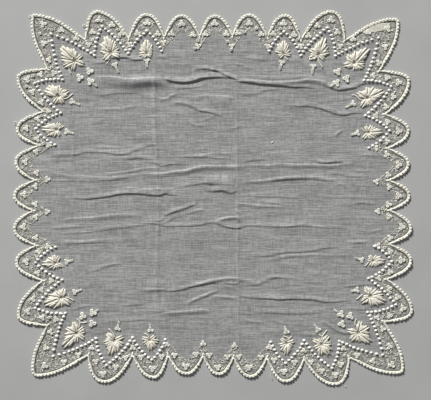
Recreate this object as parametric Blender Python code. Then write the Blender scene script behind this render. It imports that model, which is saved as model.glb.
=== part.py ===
"""A whitework handkerchief of fine muslin, lying flat with its worked side up.

The cloth is one piece.  Thirty two scallops follow each other along its edge, bound
by a padded rim of close stitches, and twenty vine leaves stand up a little from the
ground.  The cloth still has the creases in which it was folded and pressed.

X runs along the top and bottom edges, Y up the sides, and Z up from the surface that
the cloth lies on.  The origin lies on that surface, under the middle of the cloth.
"""
import math

import bmesh
import bpy
from mathutils import Vector
from mathutils.geometry import delaunay_2d_cdt

MM = 0.001

# Sizes across the cloth, in millimetres.
CLOTH_THICKNESS = 1.0
RIM_WIDTH = 2.8
RIM_CREST = 1.25
RIM_RISE = 0.7
LEAF_RISE = 0.9

# How far apart the points of the mesh are, in millimetres.
FLANK_STEP = 6.1
CORNER_STEP = 9.1
FOLD_STEP = 15.0
TOP_GRID = 17.0
UNDERSIDE_GRID = 26.0
CLEARANCE = 3.2
WELD = 1e-5

# The scallops, clockwise from the top left corner, in millimetres from the middle of
# the cloth.  The notch of a row is the one that follows its tip on that way round.
# side, kind, tip x, tip y, notch x, notch y
SCALLOPS = (
    ("top", "corner", -189.5, 192.5, -134.5, 167.0),
    ("top", "wide", -122.0, 197.0, -88.5, 168.5),
    ("top", "leafy", -69.5, 194.0, -51.0, 170.0),
    ("top", "plain", -33.0, 192.5, -14.0, 170.5),
    ("top", "plain", 1.5, 192.5, 20.5, 171.5),
    ("top", "plain", 37.5, 193.5, 57.0, 170.0),
    ("top", "leafy", 75.5, 193.0, 92.5, 167.5),
    ("top", "wide", 124.0, 197.0, 139.0, 166.5),
    ("right", "corner", 194.0, 188.0, 176.0, 134.0),
    ("right", "wide", 207.0, 123.0, 181.5, 88.0),
    ("right", "leafy", 206.5, 70.5, 184.5, 52.0),
    ("right", "plain", 206.5, 35.5, 186.0, 18.5),
    ("right", "plain", 207.5, 2.0, 186.5, -13.0),
    ("right", "plain", 209.0, -32.5, 186.0, -48.5),
    ("right", "leafy", 209.0, -66.0, 183.5, -85.5),
    ("right", "wide", 210.0, -118.5, 180.5, -130.5),
    ("bottom", "corner", 199.0, -183.0, 143.5, -168.5),
    ("bottom", "wide", 127.5, -197.0, 95.5, -170.5),
    ("bottom", "leafy", 76.5, -194.0, 56.5, -169.0),
    ("bottom", "plain", 39.0, -189.0, 21.5, -168.5),
    ("bottom", "plain", 6.0, -186.5, -10.5, -167.0),
    ("bottom", "plain", -28.0, -186.0, -47.0, -166.5),
    ("bottom", "leafy", -62.0, -190.0, -84.5, -166.0),
    ("bottom", "wide", -113.5, -194.5, -131.5, -166.0),
    ("left", "corner", -188.5, -186.5, -175.0, -134.5),
    ("left", "wide", -206.0, -123.0, -180.0, -87.0),
    ("left", "leafy", -208.0, -67.5, -187.0, -50.0),
    ("left", "plain", -210.0, -32.5, -190.0, -13.5),
    ("left", "plain", -210.0, 2.0, -188.5, 18.5),
    ("left", "plain", -208.5, 38.0, -184.5, 55.0),
    ("left", "leafy", -207.0, 71.5, -179.5, 91.0),
    ("left", "wide", -206.5, 126.0, -175.0, 136.0),
)

# Which way each side's scallops point.
OUTWARD = {
    "top": Vector((0, 1)),
    "right": Vector((1, 0)),
    "bottom": Vector((0, -1)),
    "left": Vector((-1, 0)),
}

# How full a scallop's flank is, as the two powers of a superellipse: the first rounds
# the tip and the second the shoulder that drops into the notch.
FLANK_SHAPES = {
    "plain": (2.2, 1.2),
    "leafy": (2.2, 1.2),
    "wide long": (2.0, 1.1),
    "wide steep": (2.4, 2.2),
}
STEEP_REACH = 26.0

# A corner's flank is a bow, fullest a little nearer to the tip than to the notch.
CORNER_BULGE = 5.8
CORNER_LEAN = 0.8
LONGEST_MITRE = 1.25

# The vine leaves: the place of the leaf's middle, the way it points in degrees, and
# the length from its middle to its longest tip.
# x, y, heading, reach
LEAVES = (
    (-144.5, 144.0, 135, 14.0),
    (-106.5, 152.5, 100, 13.0),
    (-69.5, 155.0, 90, 10.0),
    (73.5, 152.5, 88, 10.0),
    (111.0, 151.5, 75, 13.0),
    (148.5, 141.0, 45, 14.0),
    (162.5, 104.5, 12, 13.0),
    (162.5, 68.0, 0, 10.5),
    (169.5, -66.5, 0, 10.5),
    (166.0, -105.0, -20, 13.5),
    (153.0, -142.0, -45, 14.0),
    (116.5, -154.5, -70, 13.0),
    (77.0, -153.5, -90, 10.0),
    (-65.0, -149.5, -90, 10.5),
    (-104.5, -150.5, -110, 13.0),
    (-144.0, -141.5, -135, 14.0),
    (-159.5, -103.5, -165, 13.0),
    (-166.5, -68.0, 180, 10.0),
    (-165.0, 71.5, 180, 10.0),
    (-164.0, 106.0, 165, 13.0),
)

# One leaf's lobes, from its longest tip round one side to its stem.
# turn in degrees, length as a share of the reach
LEAF_LOBES = ((0, 1.0), (38, 0.9), (76, 0.88), (114, 0.78), (150, 0.62))
LEAF_BAY = 0.55
LEAF_RIB = 0.5

# The creases, as ridges along smooth bows through three points.  Each fades out
# towards its ends, with this power of a sine.
FOLD_FADE = 0.5
# height, half width, start x, y, middle x, y, end x, y
FOLDS = (
    (0.5, 5.0, -59, 160, -58, -2, -57, -158),
    (0.5, 5.0, 25, 160, 25, -2, 25, -158),
    (1.8, 5.5, -49, 126, -19, 125, 12, 128),
    (1.1, 5.0, -11, 137, 3, 135, 18, 130),
    (1.4, 5.5, 28, 126, 66, 120, 107, 119),
    (1.1, 5.5, -119, 128, -96, 125, -62, 126),
    (1.0, 5.0, -119, 109, -91, 111, -63, 107),
    (1.2, 5.5, -52, 105, -33, 113, -8, 116),
    (1.2, 5.5, -42, 100, -14, 93, 10, 87),
    (0.9, 5.0, -32, 84, -22, 80, -12, 75),
    (1.3, 5.5, 80, 98, 120, 92, 150, 92),
    (1.1, 5.5, -120, 54, -91, 47, -63, 52),
    (1.0, 5.5, -119, 22, -85, 30, -62, 31),
    (1.3, 6.0, -42, 27, 1, 34, 66, 36),
    (1.3, 6.0, 66, 36, 104, 36, 146, 40),
    (1.2, 6.0, 46, 17, 98, 23, 129, 18),
    (1.0, 5.0, -33, 13, -9, 17, 20, 15),
    (1.2, 5.5, -184, -1, -143, 1, -100, 6),
    (1.1, 5.5, -100, 6, -72, 5, -40, 4),
    (0.9, 5.0, -119, -18, -92, -16, -63, -17),
    (1.2, 5.5, -16, -7, -42, -15, -67, -25),
    (1.0, 5.0, 30, -3, 51, -6, 74, -9),
    (1.2, 5.5, -187, -33, -161, -30, -137, -30),
    (1.1, 5.5, -99, -32, -45, -28, 2, -24),
    (1.3, 6.0, 6, -22, 22, -19, 40, -27),
    (1.1, 5.5, 44, -31, 84, -28, 123, -32),
    (1.2, 5.5, 34, -63, 75, -60, 123, -55),
    (0.9, 5.0, 130, -47, 141, -46, 152, -45),
    (1.3, 5.5, -50, -95, -9, -89, 29, -85),
    (1.0, 5.0, 34, -85, 48, -87, 63, -84),
    (1.1, 5.5, -26, -109, -11, -102, 5, -97),
    (1.1, 5.5, 30, -102, 74, -105, 123, -107),
    (1.0, 5.5, -53, -121, -33, -118, -8, -117),
    (0.9, 4.5, -154, -42, -148, -65, -140, -92),
    (0.9, 5.0, -128, -78, -117, -74, -102, -69),
    (0.9, 5.0, 115, -125, 124, -131, 131, -136),
    (0.9, 5.0, 142, -6, 157, -4, 170, -6),
    (1.1, 5.5, 110, 121, 130, 117, 146, 118),
)

MUSLIN_COLOUR = (0.52, 0.52, 0.50, 1.0)
MUSLIN_ROUGHNESS = 0.9


def clear_scene():
    for thing in list(bpy.data.objects):
        bpy.data.objects.remove(thing, do_unlink=True)


def muslin_material():
    material = bpy.data.materials.new("muslin")
    material.use_nodes = True
    shader = material.node_tree.nodes["Principled BSDF"]
    shader.inputs["Base Color"].default_value = MUSLIN_COLOUR
    shader.inputs["Roughness"].default_value = MUSLIN_ROUGHNESS
    shader.inputs["Metallic"].default_value = 0.0
    return material


def heading_ray(degrees):
    angle = math.radians(degrees)
    return Vector((math.cos(angle), math.sin(angle)))


def rounded_flank(tip, notch, outward, shape):
    """Points from a rounded scallop's tip down to, but not at, a notch."""
    round_tip, round_shoulder = shape
    along = Vector((-outward.y, outward.x))
    across = (notch - tip).dot(along)
    drop = (tip - notch).dot(outward)
    steps = max(5, round((notch - tip).length / FLANK_STEP))
    points = []
    for step in range(1, steps):
        turn = 0.5 * math.pi * step / steps
        sideways = across * math.sin(turn) ** (2 / round_tip)
        down = drop * (1 - math.cos(turn) ** (2 / round_shoulder))
        points.append(tip + along * sideways - outward * down)
    return points


def corner_flank(tip, notch):
    """Points along a corner's flank, a shallow bow from its tip to a notch."""
    chord = notch - tip
    outward = Vector((-chord.y, chord.x)).normalized()
    if outward.dot(tip) < 0:
        outward = -outward
    steps = round(chord.length / CORNER_STEP)
    points = []
    for step in range(1, steps):
        share = step / steps
        bow = CORNER_BULGE * math.sin(math.pi * share ** CORNER_LEAN)
        points.append(tip + chord * share + outward * bow)
    return points


def scallop_flank(side, kind, tip, notch):
    if kind == "corner":
        return corner_flank(tip, notch)
    outward = OUTWARD[side]
    style = kind
    if kind == "wide":
        across = abs((notch - tip).dot(Vector((-outward.y, outward.x))))
        style = "wide steep" if across < STEEP_REACH else "wide long"
    return rounded_flank(tip, notch, outward, FLANK_SHAPES[style])


def cloth_outline():
    """The whole edge of the cloth, counter clockwise seen from above."""
    points = []
    last_x, last_y = SCALLOPS[-1][4:6]
    before = Vector((last_x, last_y))
    for side, kind, tip_x, tip_y, notch_x, notch_y in SCALLOPS:
        tip = Vector((tip_x, tip_y))
        after = Vector((notch_x, notch_y))
        points.append(before)
        points.extend(reversed(scallop_flank(side, kind, tip, before)))
        points.append(tip)
        points.extend(scallop_flank(side, kind, tip, after))
        before = after
    points.reverse()
    return points


def inset_ring(ring, distance):
    """The counter clockwise ring, moved in by a distance, with its corners eased."""
    moved = []
    for index, point in enumerate(ring):
        before = (point - ring[index - 1]).normalized()
        after = (ring[(index + 1) % len(ring)] - point).normalized()
        left_before = Vector((-before.y, before.x))
        left_after = Vector((-after.y, after.x))
        inward = (left_before + left_after).normalized()
        stretch = 1 / max(1 / LONGEST_MITRE, inward.dot(left_after))
        moved.append(point + inward * distance * stretch)
    return moved


def fold_line(fold):
    """A fold's height, half width and the points of its bow."""
    height, half_width, x0, y0, x1, y1, x2, y2 = fold
    start, middle, end = Vector((x0, y0)), Vector((x1, y1)), Vector((x2, y2))
    handle = 2 * middle - (start + end) / 2
    steps = max(2, round((end - start).length / FOLD_STEP))
    points = []
    for step in range(steps + 1):
        share = step / steps
        near_start = start.lerp(handle, share)
        near_end = handle.lerp(end, share)
        points.append(near_start.lerp(near_end, share))
    return height, half_width, points


def fold_height(point, lines):
    """How far the cloth stands off the surface, where folds lift it."""
    lift = 0.0
    for height, half_width, points in lines:
        best_distance = half_width
        best_fade = 0.0
        for index in range(len(points) - 1):
            start, end = points[index], points[index + 1]
            run = end - start
            share = max(0.0, min(1.0, (point - start).dot(run) / run.length_squared))
            distance = (point - start - run * share).length
            if distance < best_distance:
                place = (index + share) / (len(points) - 1)
                best_distance = distance
                best_fade = max(0.0, math.sin(math.pi * place)) ** FOLD_FADE
        nearness = 1 - best_distance / half_width
        lift = max(lift, height * best_fade * nearness)
    return lift


def fold_feet(lines):
    """Points along both feet of every fold, where it comes down to the surface."""
    points = []
    for height, half_width, line in lines:
        for index in range(1, len(line) - 1):
            run = (line[index + 1] - line[index - 1]).normalized()
            aside = Vector((-run.y, run.x)) * half_width
            points.extend((line[index] + aside, line[index] - aside))
    return points


def leaf_parts(leaf):
    """A leaf's outline, tip by tip and bay by bay, and the raised points within it."""
    x, y, heading, reach = leaf
    middle = Vector((x, y))
    lobes = list(LEAF_LOBES)
    lobes += [(360 - turn, length) for turn, length in reversed(LEAF_LOBES[1:])]
    outline = []
    ribs = [middle]
    for index, (turn, length) in enumerate(lobes):
        ray = heading_ray(heading + turn)
        ribs.append(middle + ray * reach * length * LEAF_RIB)
        outline.append(middle + ray * reach * length)
        next_turn, next_length = lobes[(index + 1) % len(lobes)]
        if index == len(lobes) - 1:
            next_turn += 360
        bay = reach * min(length, next_length) * LEAF_BAY
        outline.append(middle + heading_ray(heading + (turn + next_turn) / 2) * bay)
    return outline, ribs


def inside(point, ring):
    crossings = False
    for index in range(len(ring)):
        a, b = ring[index - 1], ring[index]
        if (a.y > point.y) != (b.y > point.y):
            if point.x < a.x + (point.y - a.y) * (b.x - a.x) / (b.y - a.y):
                crossings = not crossings
    return crossings


def grid_points(spacing, ring):
    """An even net of points, row by row, each second row half a step along."""
    low_x, high_x = min(p.x for p in ring), max(p.x for p in ring)
    low_y, high_y = min(p.y for p in ring), max(p.y for p in ring)
    row_step = spacing * math.sqrt(0.75)
    points = []
    for row in range(int((high_y - low_y) / row_step) + 1):
        for column in range(int((high_x - low_x) / spacing) + 1):
            x = low_x + (column + 0.5 * (row % 2)) * spacing
            points.append(Vector((x, low_y + row * row_step)))
    return points


def face_of_cloth(rings, leaves, spacing, lines):
    """The triangles of one face, with each point's rise above the plain cloth."""
    points = []
    rises = []
    edges = []

    def add_line(line, rise, closed):
        first = len(points)
        points.extend(line)
        rises.extend([rise] * len(line))
        edges.extend((first + i, first + i + 1) for i in range(len(line) - 1))
        if closed:
            edges.append((first + len(line) - 1, first))

    for ring, rise in rings:
        add_line(ring, rise, True)
    for outline, ribs in leaves:
        add_line(outline, 0.0, True)
        points.extend(ribs)
        rises.extend([LEAF_RISE] * len(ribs))
    for height, half_width, line in lines:
        add_line(line, 0.0, False)
    edge, inner = rings[0][0], rings[-1][0]
    kept = list(points)
    for point in fold_feet(lines) + grid_points(spacing, edge):
        if inside(point, inner) and all((point - other).length > CLEARANCE for other in kept):
            kept.append(point)
            points.append(point)
            rises.append(0.0)
    flat, _, triangles, origins, _, _ = delaunay_2d_cdt(points, edges, [], 1, WELD)
    rise_of = [rises[origin[0]] if origin else 0.0 for origin in origins]
    return flat, rise_of, triangles


def cloth_mesh():
    """The closed sheet: a worked upper face, a plain underside and the edge between."""
    edge = cloth_outline()
    lines = [fold_line(fold) for fold in FOLDS]
    leaves = [leaf_parts(leaf) for leaf in LEAVES]
    top_rings = [
        (edge, 0.0),
        (inset_ring(edge, RIM_CREST), RIM_RISE),
        (inset_ring(edge, RIM_WIDTH), 0.0),
    ]
    mesh = bmesh.new()
    rims = []
    faces = (
        (top_rings, leaves, TOP_GRID, CLOTH_THICKNESS, False),
        ([(edge, 0.0)], [], UNDERSIDE_GRID, 0.0, True),
    )
    for rings, worked, spacing, level, underneath in faces:
        flat, rise_of, triangles = face_of_cloth(rings, worked, spacing, lines)
        verts = []
        for point, rise in zip(flat, rise_of):
            z = level + rise + fold_height(point, lines)
            verts.append(mesh.verts.new((point.x * MM, point.y * MM, z * MM)))
        for corners in triangles:
            order = reversed(corners) if underneath else corners
            mesh.faces.new([verts[corner] for corner in order])
        rims.append(verts[:len(edge)])
    top, bottom = rims
    for index in range(len(edge)):
        after = (index + 1) % len(edge)
        mesh.faces.new((bottom[index], bottom[after], top[after]))
        mesh.faces.new((bottom[index], top[after], top[index]))
    return mesh


def build_cloth():
    mesh = cloth_mesh()
    data = bpy.data.meshes.new("ground_cloth")
    mesh.to_mesh(data)
    mesh.free()
    data.materials.append(muslin_material())
    cloth = bpy.data.objects.new("ground_cloth", data)
    bpy.context.scene.collection.objects.link(cloth)
    return cloth


def main():
    clear_scene()
    cloth = build_cloth()
    print(cloth.name, len(cloth.data.polygons), "triangles")


main()
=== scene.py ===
# %% [markdown]
# # A whitework handkerchief of sheer muslin
# The real thing is one square of very fine cotton muslin. Its edge is cut into thirty
# two scallops, bound with close buttonhole stitches that carry a row of small thread
# loops, and satin stitched vine leaves and dots stand up along the border.
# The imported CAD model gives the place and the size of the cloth. This script keeps
# that frame fixed and builds the cloth and each kind of stitch around it.

# %% Load the frame and keep its box
import math

import bpy
import numpy as np
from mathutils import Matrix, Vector


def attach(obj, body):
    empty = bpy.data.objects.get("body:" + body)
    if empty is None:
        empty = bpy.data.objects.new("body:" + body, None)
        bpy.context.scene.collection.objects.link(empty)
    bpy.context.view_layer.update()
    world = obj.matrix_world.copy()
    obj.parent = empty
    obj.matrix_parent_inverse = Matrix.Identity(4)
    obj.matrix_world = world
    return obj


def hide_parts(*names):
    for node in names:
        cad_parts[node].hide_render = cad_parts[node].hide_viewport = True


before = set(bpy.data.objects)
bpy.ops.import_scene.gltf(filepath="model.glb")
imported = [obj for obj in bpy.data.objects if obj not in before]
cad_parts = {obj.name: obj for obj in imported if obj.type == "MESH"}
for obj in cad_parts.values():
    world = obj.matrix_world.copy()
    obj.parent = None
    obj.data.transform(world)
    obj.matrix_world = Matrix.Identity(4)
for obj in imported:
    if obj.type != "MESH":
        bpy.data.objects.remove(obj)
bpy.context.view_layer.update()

# %% [markdown]
# ## The camera
# The photograph was taken from straight above, so the camera looks down the Z axis
# with the top edge of the cloth at the top of the picture. A long lens keeps the
# raised stitches at the border from leaning outwards. The distance follows from the
# width of cloth that the picture spans.

# %% Set the camera
MM = 0.001
FRAME_WIDTH = 452.55
VIEW_MIDDLE = (2.5, -2.1)
LENS = 100.0
SENSOR = 36.0

camera_data = bpy.data.cameras.new("overhead_camera")
camera_data.lens = LENS
camera_data.sensor_width = SENSOR
camera = bpy.data.objects.new("overhead_camera", camera_data)
camera_height = FRAME_WIDTH * LENS / SENSOR
camera.location = Vector((*VIEW_MIDDLE, camera_height)) * MM
bpy.context.scene.collection.objects.link(camera)
bpy.context.scene.camera = camera
bpy.context.scene.view_settings.view_transform = "Standard"
print("camera height in mm:", round(camera_height, 1))

# %% [markdown]
# ## The light
# Folds in thin cloth show only in light that rakes across it. The key light therefore
# stands low beyond the top edge, a little to the left, and a broad soft light above
# fills the shadows.

# %% Light the cloth
KEY_TURN = 25.0
KEY_RISE = 26.0
KEY_DISTANCE = 8.0
KEY_SIZE = 1.3
KEY_WATTS = 1120.0
FILL_PLACE = (0.2, -0.3, 2.0)
FILL_SIZE = 2.0
FILL_WATTS = 3.5
ROOM_COLOUR = (0.93, 0.95, 1.0, 1.0)
ROOM_STRENGTH = 0.10


def add_light(name, where, size, watts):
    light = bpy.data.lights.new(name, "AREA")
    light.size = size
    light.energy = watts
    lamp = bpy.data.objects.new(name, light)
    lamp.location = where
    lamp.rotation_euler = (-Vector(where)).to_track_quat("-Z", "Y").to_euler()
    bpy.context.scene.collection.objects.link(lamp)


turn = math.radians(KEY_TURN)
rise = math.radians(KEY_RISE)
key_place = Vector((-math.sin(turn) * math.cos(rise), math.cos(turn) * math.cos(rise), math.sin(rise)))
add_light("key_light", key_place * KEY_DISTANCE, KEY_SIZE, KEY_WATTS)
add_light("fill_light", FILL_PLACE, FILL_SIZE, FILL_WATTS)

world = bpy.data.worlds.new("soft_room")
world.use_nodes = True
background = world.node_tree.nodes["Background"]
background.inputs["Color"].default_value = ROOM_COLOUR
background.inputs["Strength"].default_value = ROOM_STRENGTH
bpy.context.scene.world = world
print("key light", KEY_RISE, "degrees above the table,", KEY_DISTANCE, "m away")

# %% [markdown]
# ## A helper for finishes
# Every finish here is a Principled shader with a few nodes in front of it. This helper
# adds one node at a time: an input that is given another node's output is linked, and
# an input that is given a number or a colour is set on the node itself. Its last
# methods make what every thread has: a mottled colour, age and a fibrous surface.

# %% A helper that makes node materials
MM_PER_METRE = 1000
# most of a noise texture's values lie between these two
NOISE_LOW = 0.35
NOISE_HIGH = 0.65
FIBRE_DEPTH = 0.0002


class Finish:
    """A material that is built up node by node."""

    def __init__(self, name, roughness, sheen=0.0):
        self.material = bpy.data.materials.new(name)
        self.material.use_nodes = True
        self.tree = self.material.node_tree
        self.shader = self.tree.nodes["Principled BSDF"]
        self.shader.inputs["Roughness"].default_value = roughness
        self.shader.inputs["Sheen Weight"].default_value = sheen

    def feed(self, socket, value):
        if isinstance(value, bpy.types.NodeSocket):
            self.tree.links.new(value, socket)
        else:
            socket.default_value = value

    def node(self, kind, inputs, out=0, **settings):
        made = self.tree.nodes.new("ShaderNode" + kind)
        for name, value in settings.items():
            setattr(made, name, value)
        for name, value in inputs.items():
            self.feed(made.inputs[name], value)
        return made.outputs[out]

    def place(self, scale):
        """Where a point lies on the object, in metres times a scale."""
        at = self.tree.nodes.new("ShaderNodeTexCoord").outputs["Object"]
        return self.node("Mapping", {"Vector": at, "Scale": scale})

    def noise(self, cell, detail=2.0):
        """Noise whose cells are so many millimetres: one number, or three for x, y and z."""
        scale = [MM_PER_METRE / side for side in np.broadcast_to(cell, 3)]
        return self.node("TexNoise", {"Vector": self.place(scale), "Scale": 1.0, "Detail": detail})

    def ribs(self, direction, scale):
        """Even waves, like threads that lie side by side."""
        at = self.place([MM_PER_METRE] * 3)
        return self.node("TexWave", {"Vector": at, "Scale": scale}, bands_direction=direction)

    def spread(self, value, low, high, to_low=0.0, to_high=1.0):
        """Values from low to high, spread out from to_low to to_high."""
        inputs = {"Value": value, "From Min": low, "From Max": high, "To Min": to_low, "To Max": to_high}
        return self.node("MapRange", inputs)

    def sum(self, how, first, second):
        return self.node("Math", {0: first, 1: second}, operation=how)

    def mix(self, share, first, second):
        return self.node("Mix", {"Factor": share, 6: first, 7: second}, out=2, data_type="RGBA")

    def bump(self, height, depth, strength=1.0):
        normal = self.node("Bump", {"Height": height, "Distance": depth, "Strength": strength})
        self.feed(self.shader.inputs["Normal"], normal)

    def colour(self, value):
        self.feed(self.shader.inputs["Base Color"], value)

    def mottled(self, cell, dark, light, low=NOISE_LOW, high=NOISE_HIGH):
        """A colour that wanders between two tones."""
        return self.mix(self.spread(self.noise(cell), low, high), (*dark, 1), (*light, 1))

    def aged(self, fresh, cell, share, tint):
        """A colour that has turned to a tint in patches, by a share at most."""
        patches = self.spread(self.noise(cell), NOISE_LOW, NOISE_HIGH)
        return self.mix(self.sum("MULTIPLY", patches, share), fresh, (*tint, 1))

    def fibres(self, cell, strength):
        self.bump(self.noise(cell), FIBRE_DEPTH, strength)


# %% [markdown]
# ## The floor
# The cloth lies on a plain pale plane, which is not part of it. The plane's tone varies
# a little, so that it reads as a surface and not as an empty background.

# %% Lay the floor
FLOOR_SIZE = 6.0

floor_finish = Finish("pale_floor", 0.7)
floor_finish.colour(floor_finish.mottled(60, (0.40, 0.40, 0.39), (0.43, 0.43, 0.42), 0.3, 0.7))
bpy.ops.mesh.primitive_plane_add(size=FLOOR_SIZE)
floor = bpy.context.object
floor.name = "pale_floor"
floor.data.materials.append(floor_finish.material)
print("floor of", FLOOR_SIZE, "m laid")

# %% [markdown]
# ## The scalloped outline
# The edge is what everyone sees first, so the scallops are drawn one by one. Each row
# gives a scallop's tip and the notch after it, clockwise from the top left corner, as
# the CAD source does. It also gives the point of the V that the inner border makes in
# that scallop, and the inner point where two of these Vs meet.

# %% The scallops, in millimetres from the middle of the cloth
SIDES = ("top", "right", "bottom", "left")
KINDS_OF_A_SIDE = ("corner", "wide", "leafy", "plain", "plain", "plain", "leafy", "wide")
# tip x, y, notch x, y, point of the V x, y, inner point x, y
SCALLOP_PLACES = (
    (-189.5, 192.5, -134.5, 167.0, -170.0, 172.0, -124.5, 149.5),
    (-122.0, 197.0, -88.5, 168.5, -116.5, 180.0, -89.0, 151.5),
    (-69.5, 194.0, -51.0, 170.0, -69.5, 175.0, -54.0, 154.0),
    (-33.0, 192.5, -14.0, 170.5, -33.0, 178.0, -15.0, 157.0),
    (1.5, 192.5, 20.5, 171.5, 1.5, 178.0, 20.0, 157.0),
    (37.5, 193.5, 57.0, 170.0, 37.5, 178.5, 59.0, 154.0),
    (75.5, 193.0, 92.5, 167.5, 74.5, 174.5, 92.0, 149.5),
    (124.0, 197.0, 139.0, 166.5, 120.0, 178.5, 128.5, 149.0),
    (194.0, 188.0, 176.0, 134.0, 173.5, 168.0, 158.5, 123.5),
    (207.0, 123.0, 181.5, 88.0, 187.0, 117.0, 160.0, 86.5),
    (206.5, 70.5, 184.5, 52.0, 185.0, 70.5, 163.5, 52.5),
    (206.5, 35.5, 186.0, 18.5, 191.0, 35.0, 171.5, 18.0),
    (207.5, 2.0, 186.5, -13.0, 192.0, 2.0, 172.0, -13.5),
    (209.0, -32.5, 186.0, -48.5, 193.5, -31.5, 169.5, -50.5),
    (209.0, -66.0, 183.5, -85.5, 187.5, -66.5, 163.0, -84.5),
    (210.0, -118.5, 180.5, -130.5, 191.5, -112.0, 162.0, -120.0),
    (199.0, -183.0, 143.5, -168.5, 178.0, -164.5, 132.5, -150.0),
    (127.5, -197.0, 95.5, -170.5, 124.5, -178.5, 95.5, -149.5),
    (76.5, -194.0, 56.5, -169.0, 76.0, -173.0, 60.5, -151.0),
    (39.0, -189.0, 21.5, -168.5, 39.0, -174.0, 22.5, -154.0),
    (6.0, -186.5, -10.5, -167.0, 5.5, -171.5, -10.5, -152.0),
    (-28.0, -186.0, -47.0, -166.5, -28.0, -171.0, -50.0, -148.5),
    (-62.0, -190.0, -84.5, -166.0, -64.5, -170.0, -84.5, -146.5),
    (-113.5, -194.5, -131.5, -166.0, -112.0, -175.5, -123.0, -147.5),
    (-188.5, -186.5, -175.0, -134.5, -168.0, -166.0, -155.0, -121.0),
    (-206.0, -123.0, -180.0, -87.0, -187.0, -115.5, -158.5, -86.0),
    (-208.0, -67.5, -187.0, -50.0, -186.5, -68.0, -165.5, -51.5),
    (-210.0, -32.5, -190.0, -13.5, -194.0, -31.5, -175.0, -13.5),
    (-210.0, 2.0, -188.5, 18.5, -194.5, 2.0, -174.5, 19.0),
    (-208.5, 38.0, -184.5, 55.0, -193.0, 38.0, -166.0, 56.0),
    (-207.0, 71.5, -179.5, 91.0, -186.0, 73.0, -160.0, 89.0),
    (-206.5, 126.0, -175.0, 136.0, -187.0, 120.5, -158.0, 124.0),
)
kinds = [(side, kind) for side in SIDES for kind in KINDS_OF_A_SIDE]
SCALLOPS = [(*kind, *places) for kind, places in zip(kinds, SCALLOP_PLACES)]
print(len(SCALLOPS), "scallops listed")

# %% [markdown]
# A rounded scallop is drawn as two quarter curves of a superellipse, which has one
# power for the roundness of the tip and one for the shoulder that drops into the
# notch. A corner is a long bow on each side of its tip. The line is then given evenly
# spaced points and smoothed a little, since a stitched edge has no sharp tip.

# %% Draw each scallop's edge
OUTWARD = {"top": (0, 1), "right": (1, 0), "bottom": (0, -1), "left": (-1, 0)}
FLANK_SHAPES = {
    "plain": (2.2, 1.2),
    "leafy": (2.2, 1.2),
    "wide long": (2.0, 1.1),
    "wide steep": (2.4, 2.2),
}
STEEP_REACH = 26.0
CORNER_BULGE = 5.8
CORNER_LEAN = 0.8
CORNER_PUSH = 0.9
FLANK_POINTS = 60
EDGE_STEP = 0.8
EDGE_SMOOTHING = 12
CORNER_SMOOTHING = 30


def left_of(vector):
    """The vector after a quarter turn to the left."""
    return np.array((-vector[1], vector[0]))


def bowed_flank(tip, notch):
    chord = notch - tip
    outward = left_of(chord) / np.hypot(*chord)
    if outward @ tip < 0:
        outward = -outward
    share = np.linspace(0, 1, FLANK_POINTS)[:, None]
    bow = CORNER_BULGE * np.sin(np.pi * share ** CORNER_LEAN)
    return tip + chord * share + outward * bow


def rounded_flank(tip, notch, outward, shape):
    round_tip, round_shoulder = shape
    along = left_of(outward)
    turn = np.linspace(0, math.pi / 2, FLANK_POINTS)[:, None]
    sideways = (notch - tip) @ along * np.sin(turn) ** (2 / round_tip)
    down = (tip - notch) @ outward * (1 - np.cos(turn) ** (2 / round_shoulder))
    return tip + along * sideways - outward * down


def flank(side, kind, tip, notch):
    """One side of a scallop, from its tip down to a notch."""
    if kind == "corner":
        return bowed_flank(tip, notch)
    outward = np.array(OUTWARD[side], float)
    style = kind
    if kind == "wide":
        across = abs((notch - tip) @ left_of(outward))
        style = "wide steep" if across < STEEP_REACH else "wide long"
    return rounded_flank(tip, notch, outward, FLANK_SHAPES[style])


def how_far(line):
    """How far along a line each of its points is."""
    return np.concatenate(([0], np.cumsum(np.hypot(*np.diff(line, axis=0).T))))


def points_at(line, wanted):
    """The points of a line at these distances along it."""
    return np.column_stack([np.interp(wanted, how_far(line), line[:, axis]) for axis in (0, 1)])


def spaced(line, step):
    """The same line, with its points an even step apart."""
    length = how_far(line)[-1]
    return points_at(line, np.linspace(0, length, max(2, round(length / step)) + 1))


def smoothed(line, passes):
    line = line.copy()
    for _ in range(passes):
        line[1:-1] = (line[:-2] + 2 * line[1:-1] + line[2:]) / 4
    return line


lobes = []
notch_before = np.array(SCALLOPS[-1][4:6])
for side, kind, *numbers in SCALLOPS:
    tip = np.array(numbers[0:2])
    passes = EDGE_SMOOTHING
    if kind == "corner":
        tip = tip + np.sign(tip) * CORNER_PUSH
        passes = CORNER_SMOOTHING
    notch_after = np.array(numbers[2:4])
    rising = flank(side, kind, tip, notch_before)[::-1]
    falling = flank(side, kind, tip, notch_after)
    lobes.append(smoothed(spaced(np.vstack((rising, falling[1:])), EDGE_STEP), passes))
    notch_before = notch_after
edge_length = sum(how_far(lobe)[-1] for lobe in lobes)
print(len(lobes), "scallops, with", round(edge_length / MM_PER_METRE, 2), "m of edge")

# %% [markdown]
# ## Lines beside the edge
# The cord, the loops and the cut of the cloth all follow the edge at their own
# distance inside it. Seen clockwise, the inside is to the right of the line, so each
# point moves along the right hand normal.

# %% Lines at a distance inside the edge
TRIM_INSET = 1.5


def inward(line):
    """The unit normal at each point of a clockwise line, towards the inside."""
    ahead = np.gradient(line, axis=0)
    ahead /= np.hypot(*ahead.T)[:, None]
    return np.column_stack((ahead[:, 1], -ahead[:, 0]))


def ring_inside(inset):
    """The whole edge, moved in by an inset."""
    return np.vstack([lobe + inward(lobe) * inset for lobe in lobes])


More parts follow.
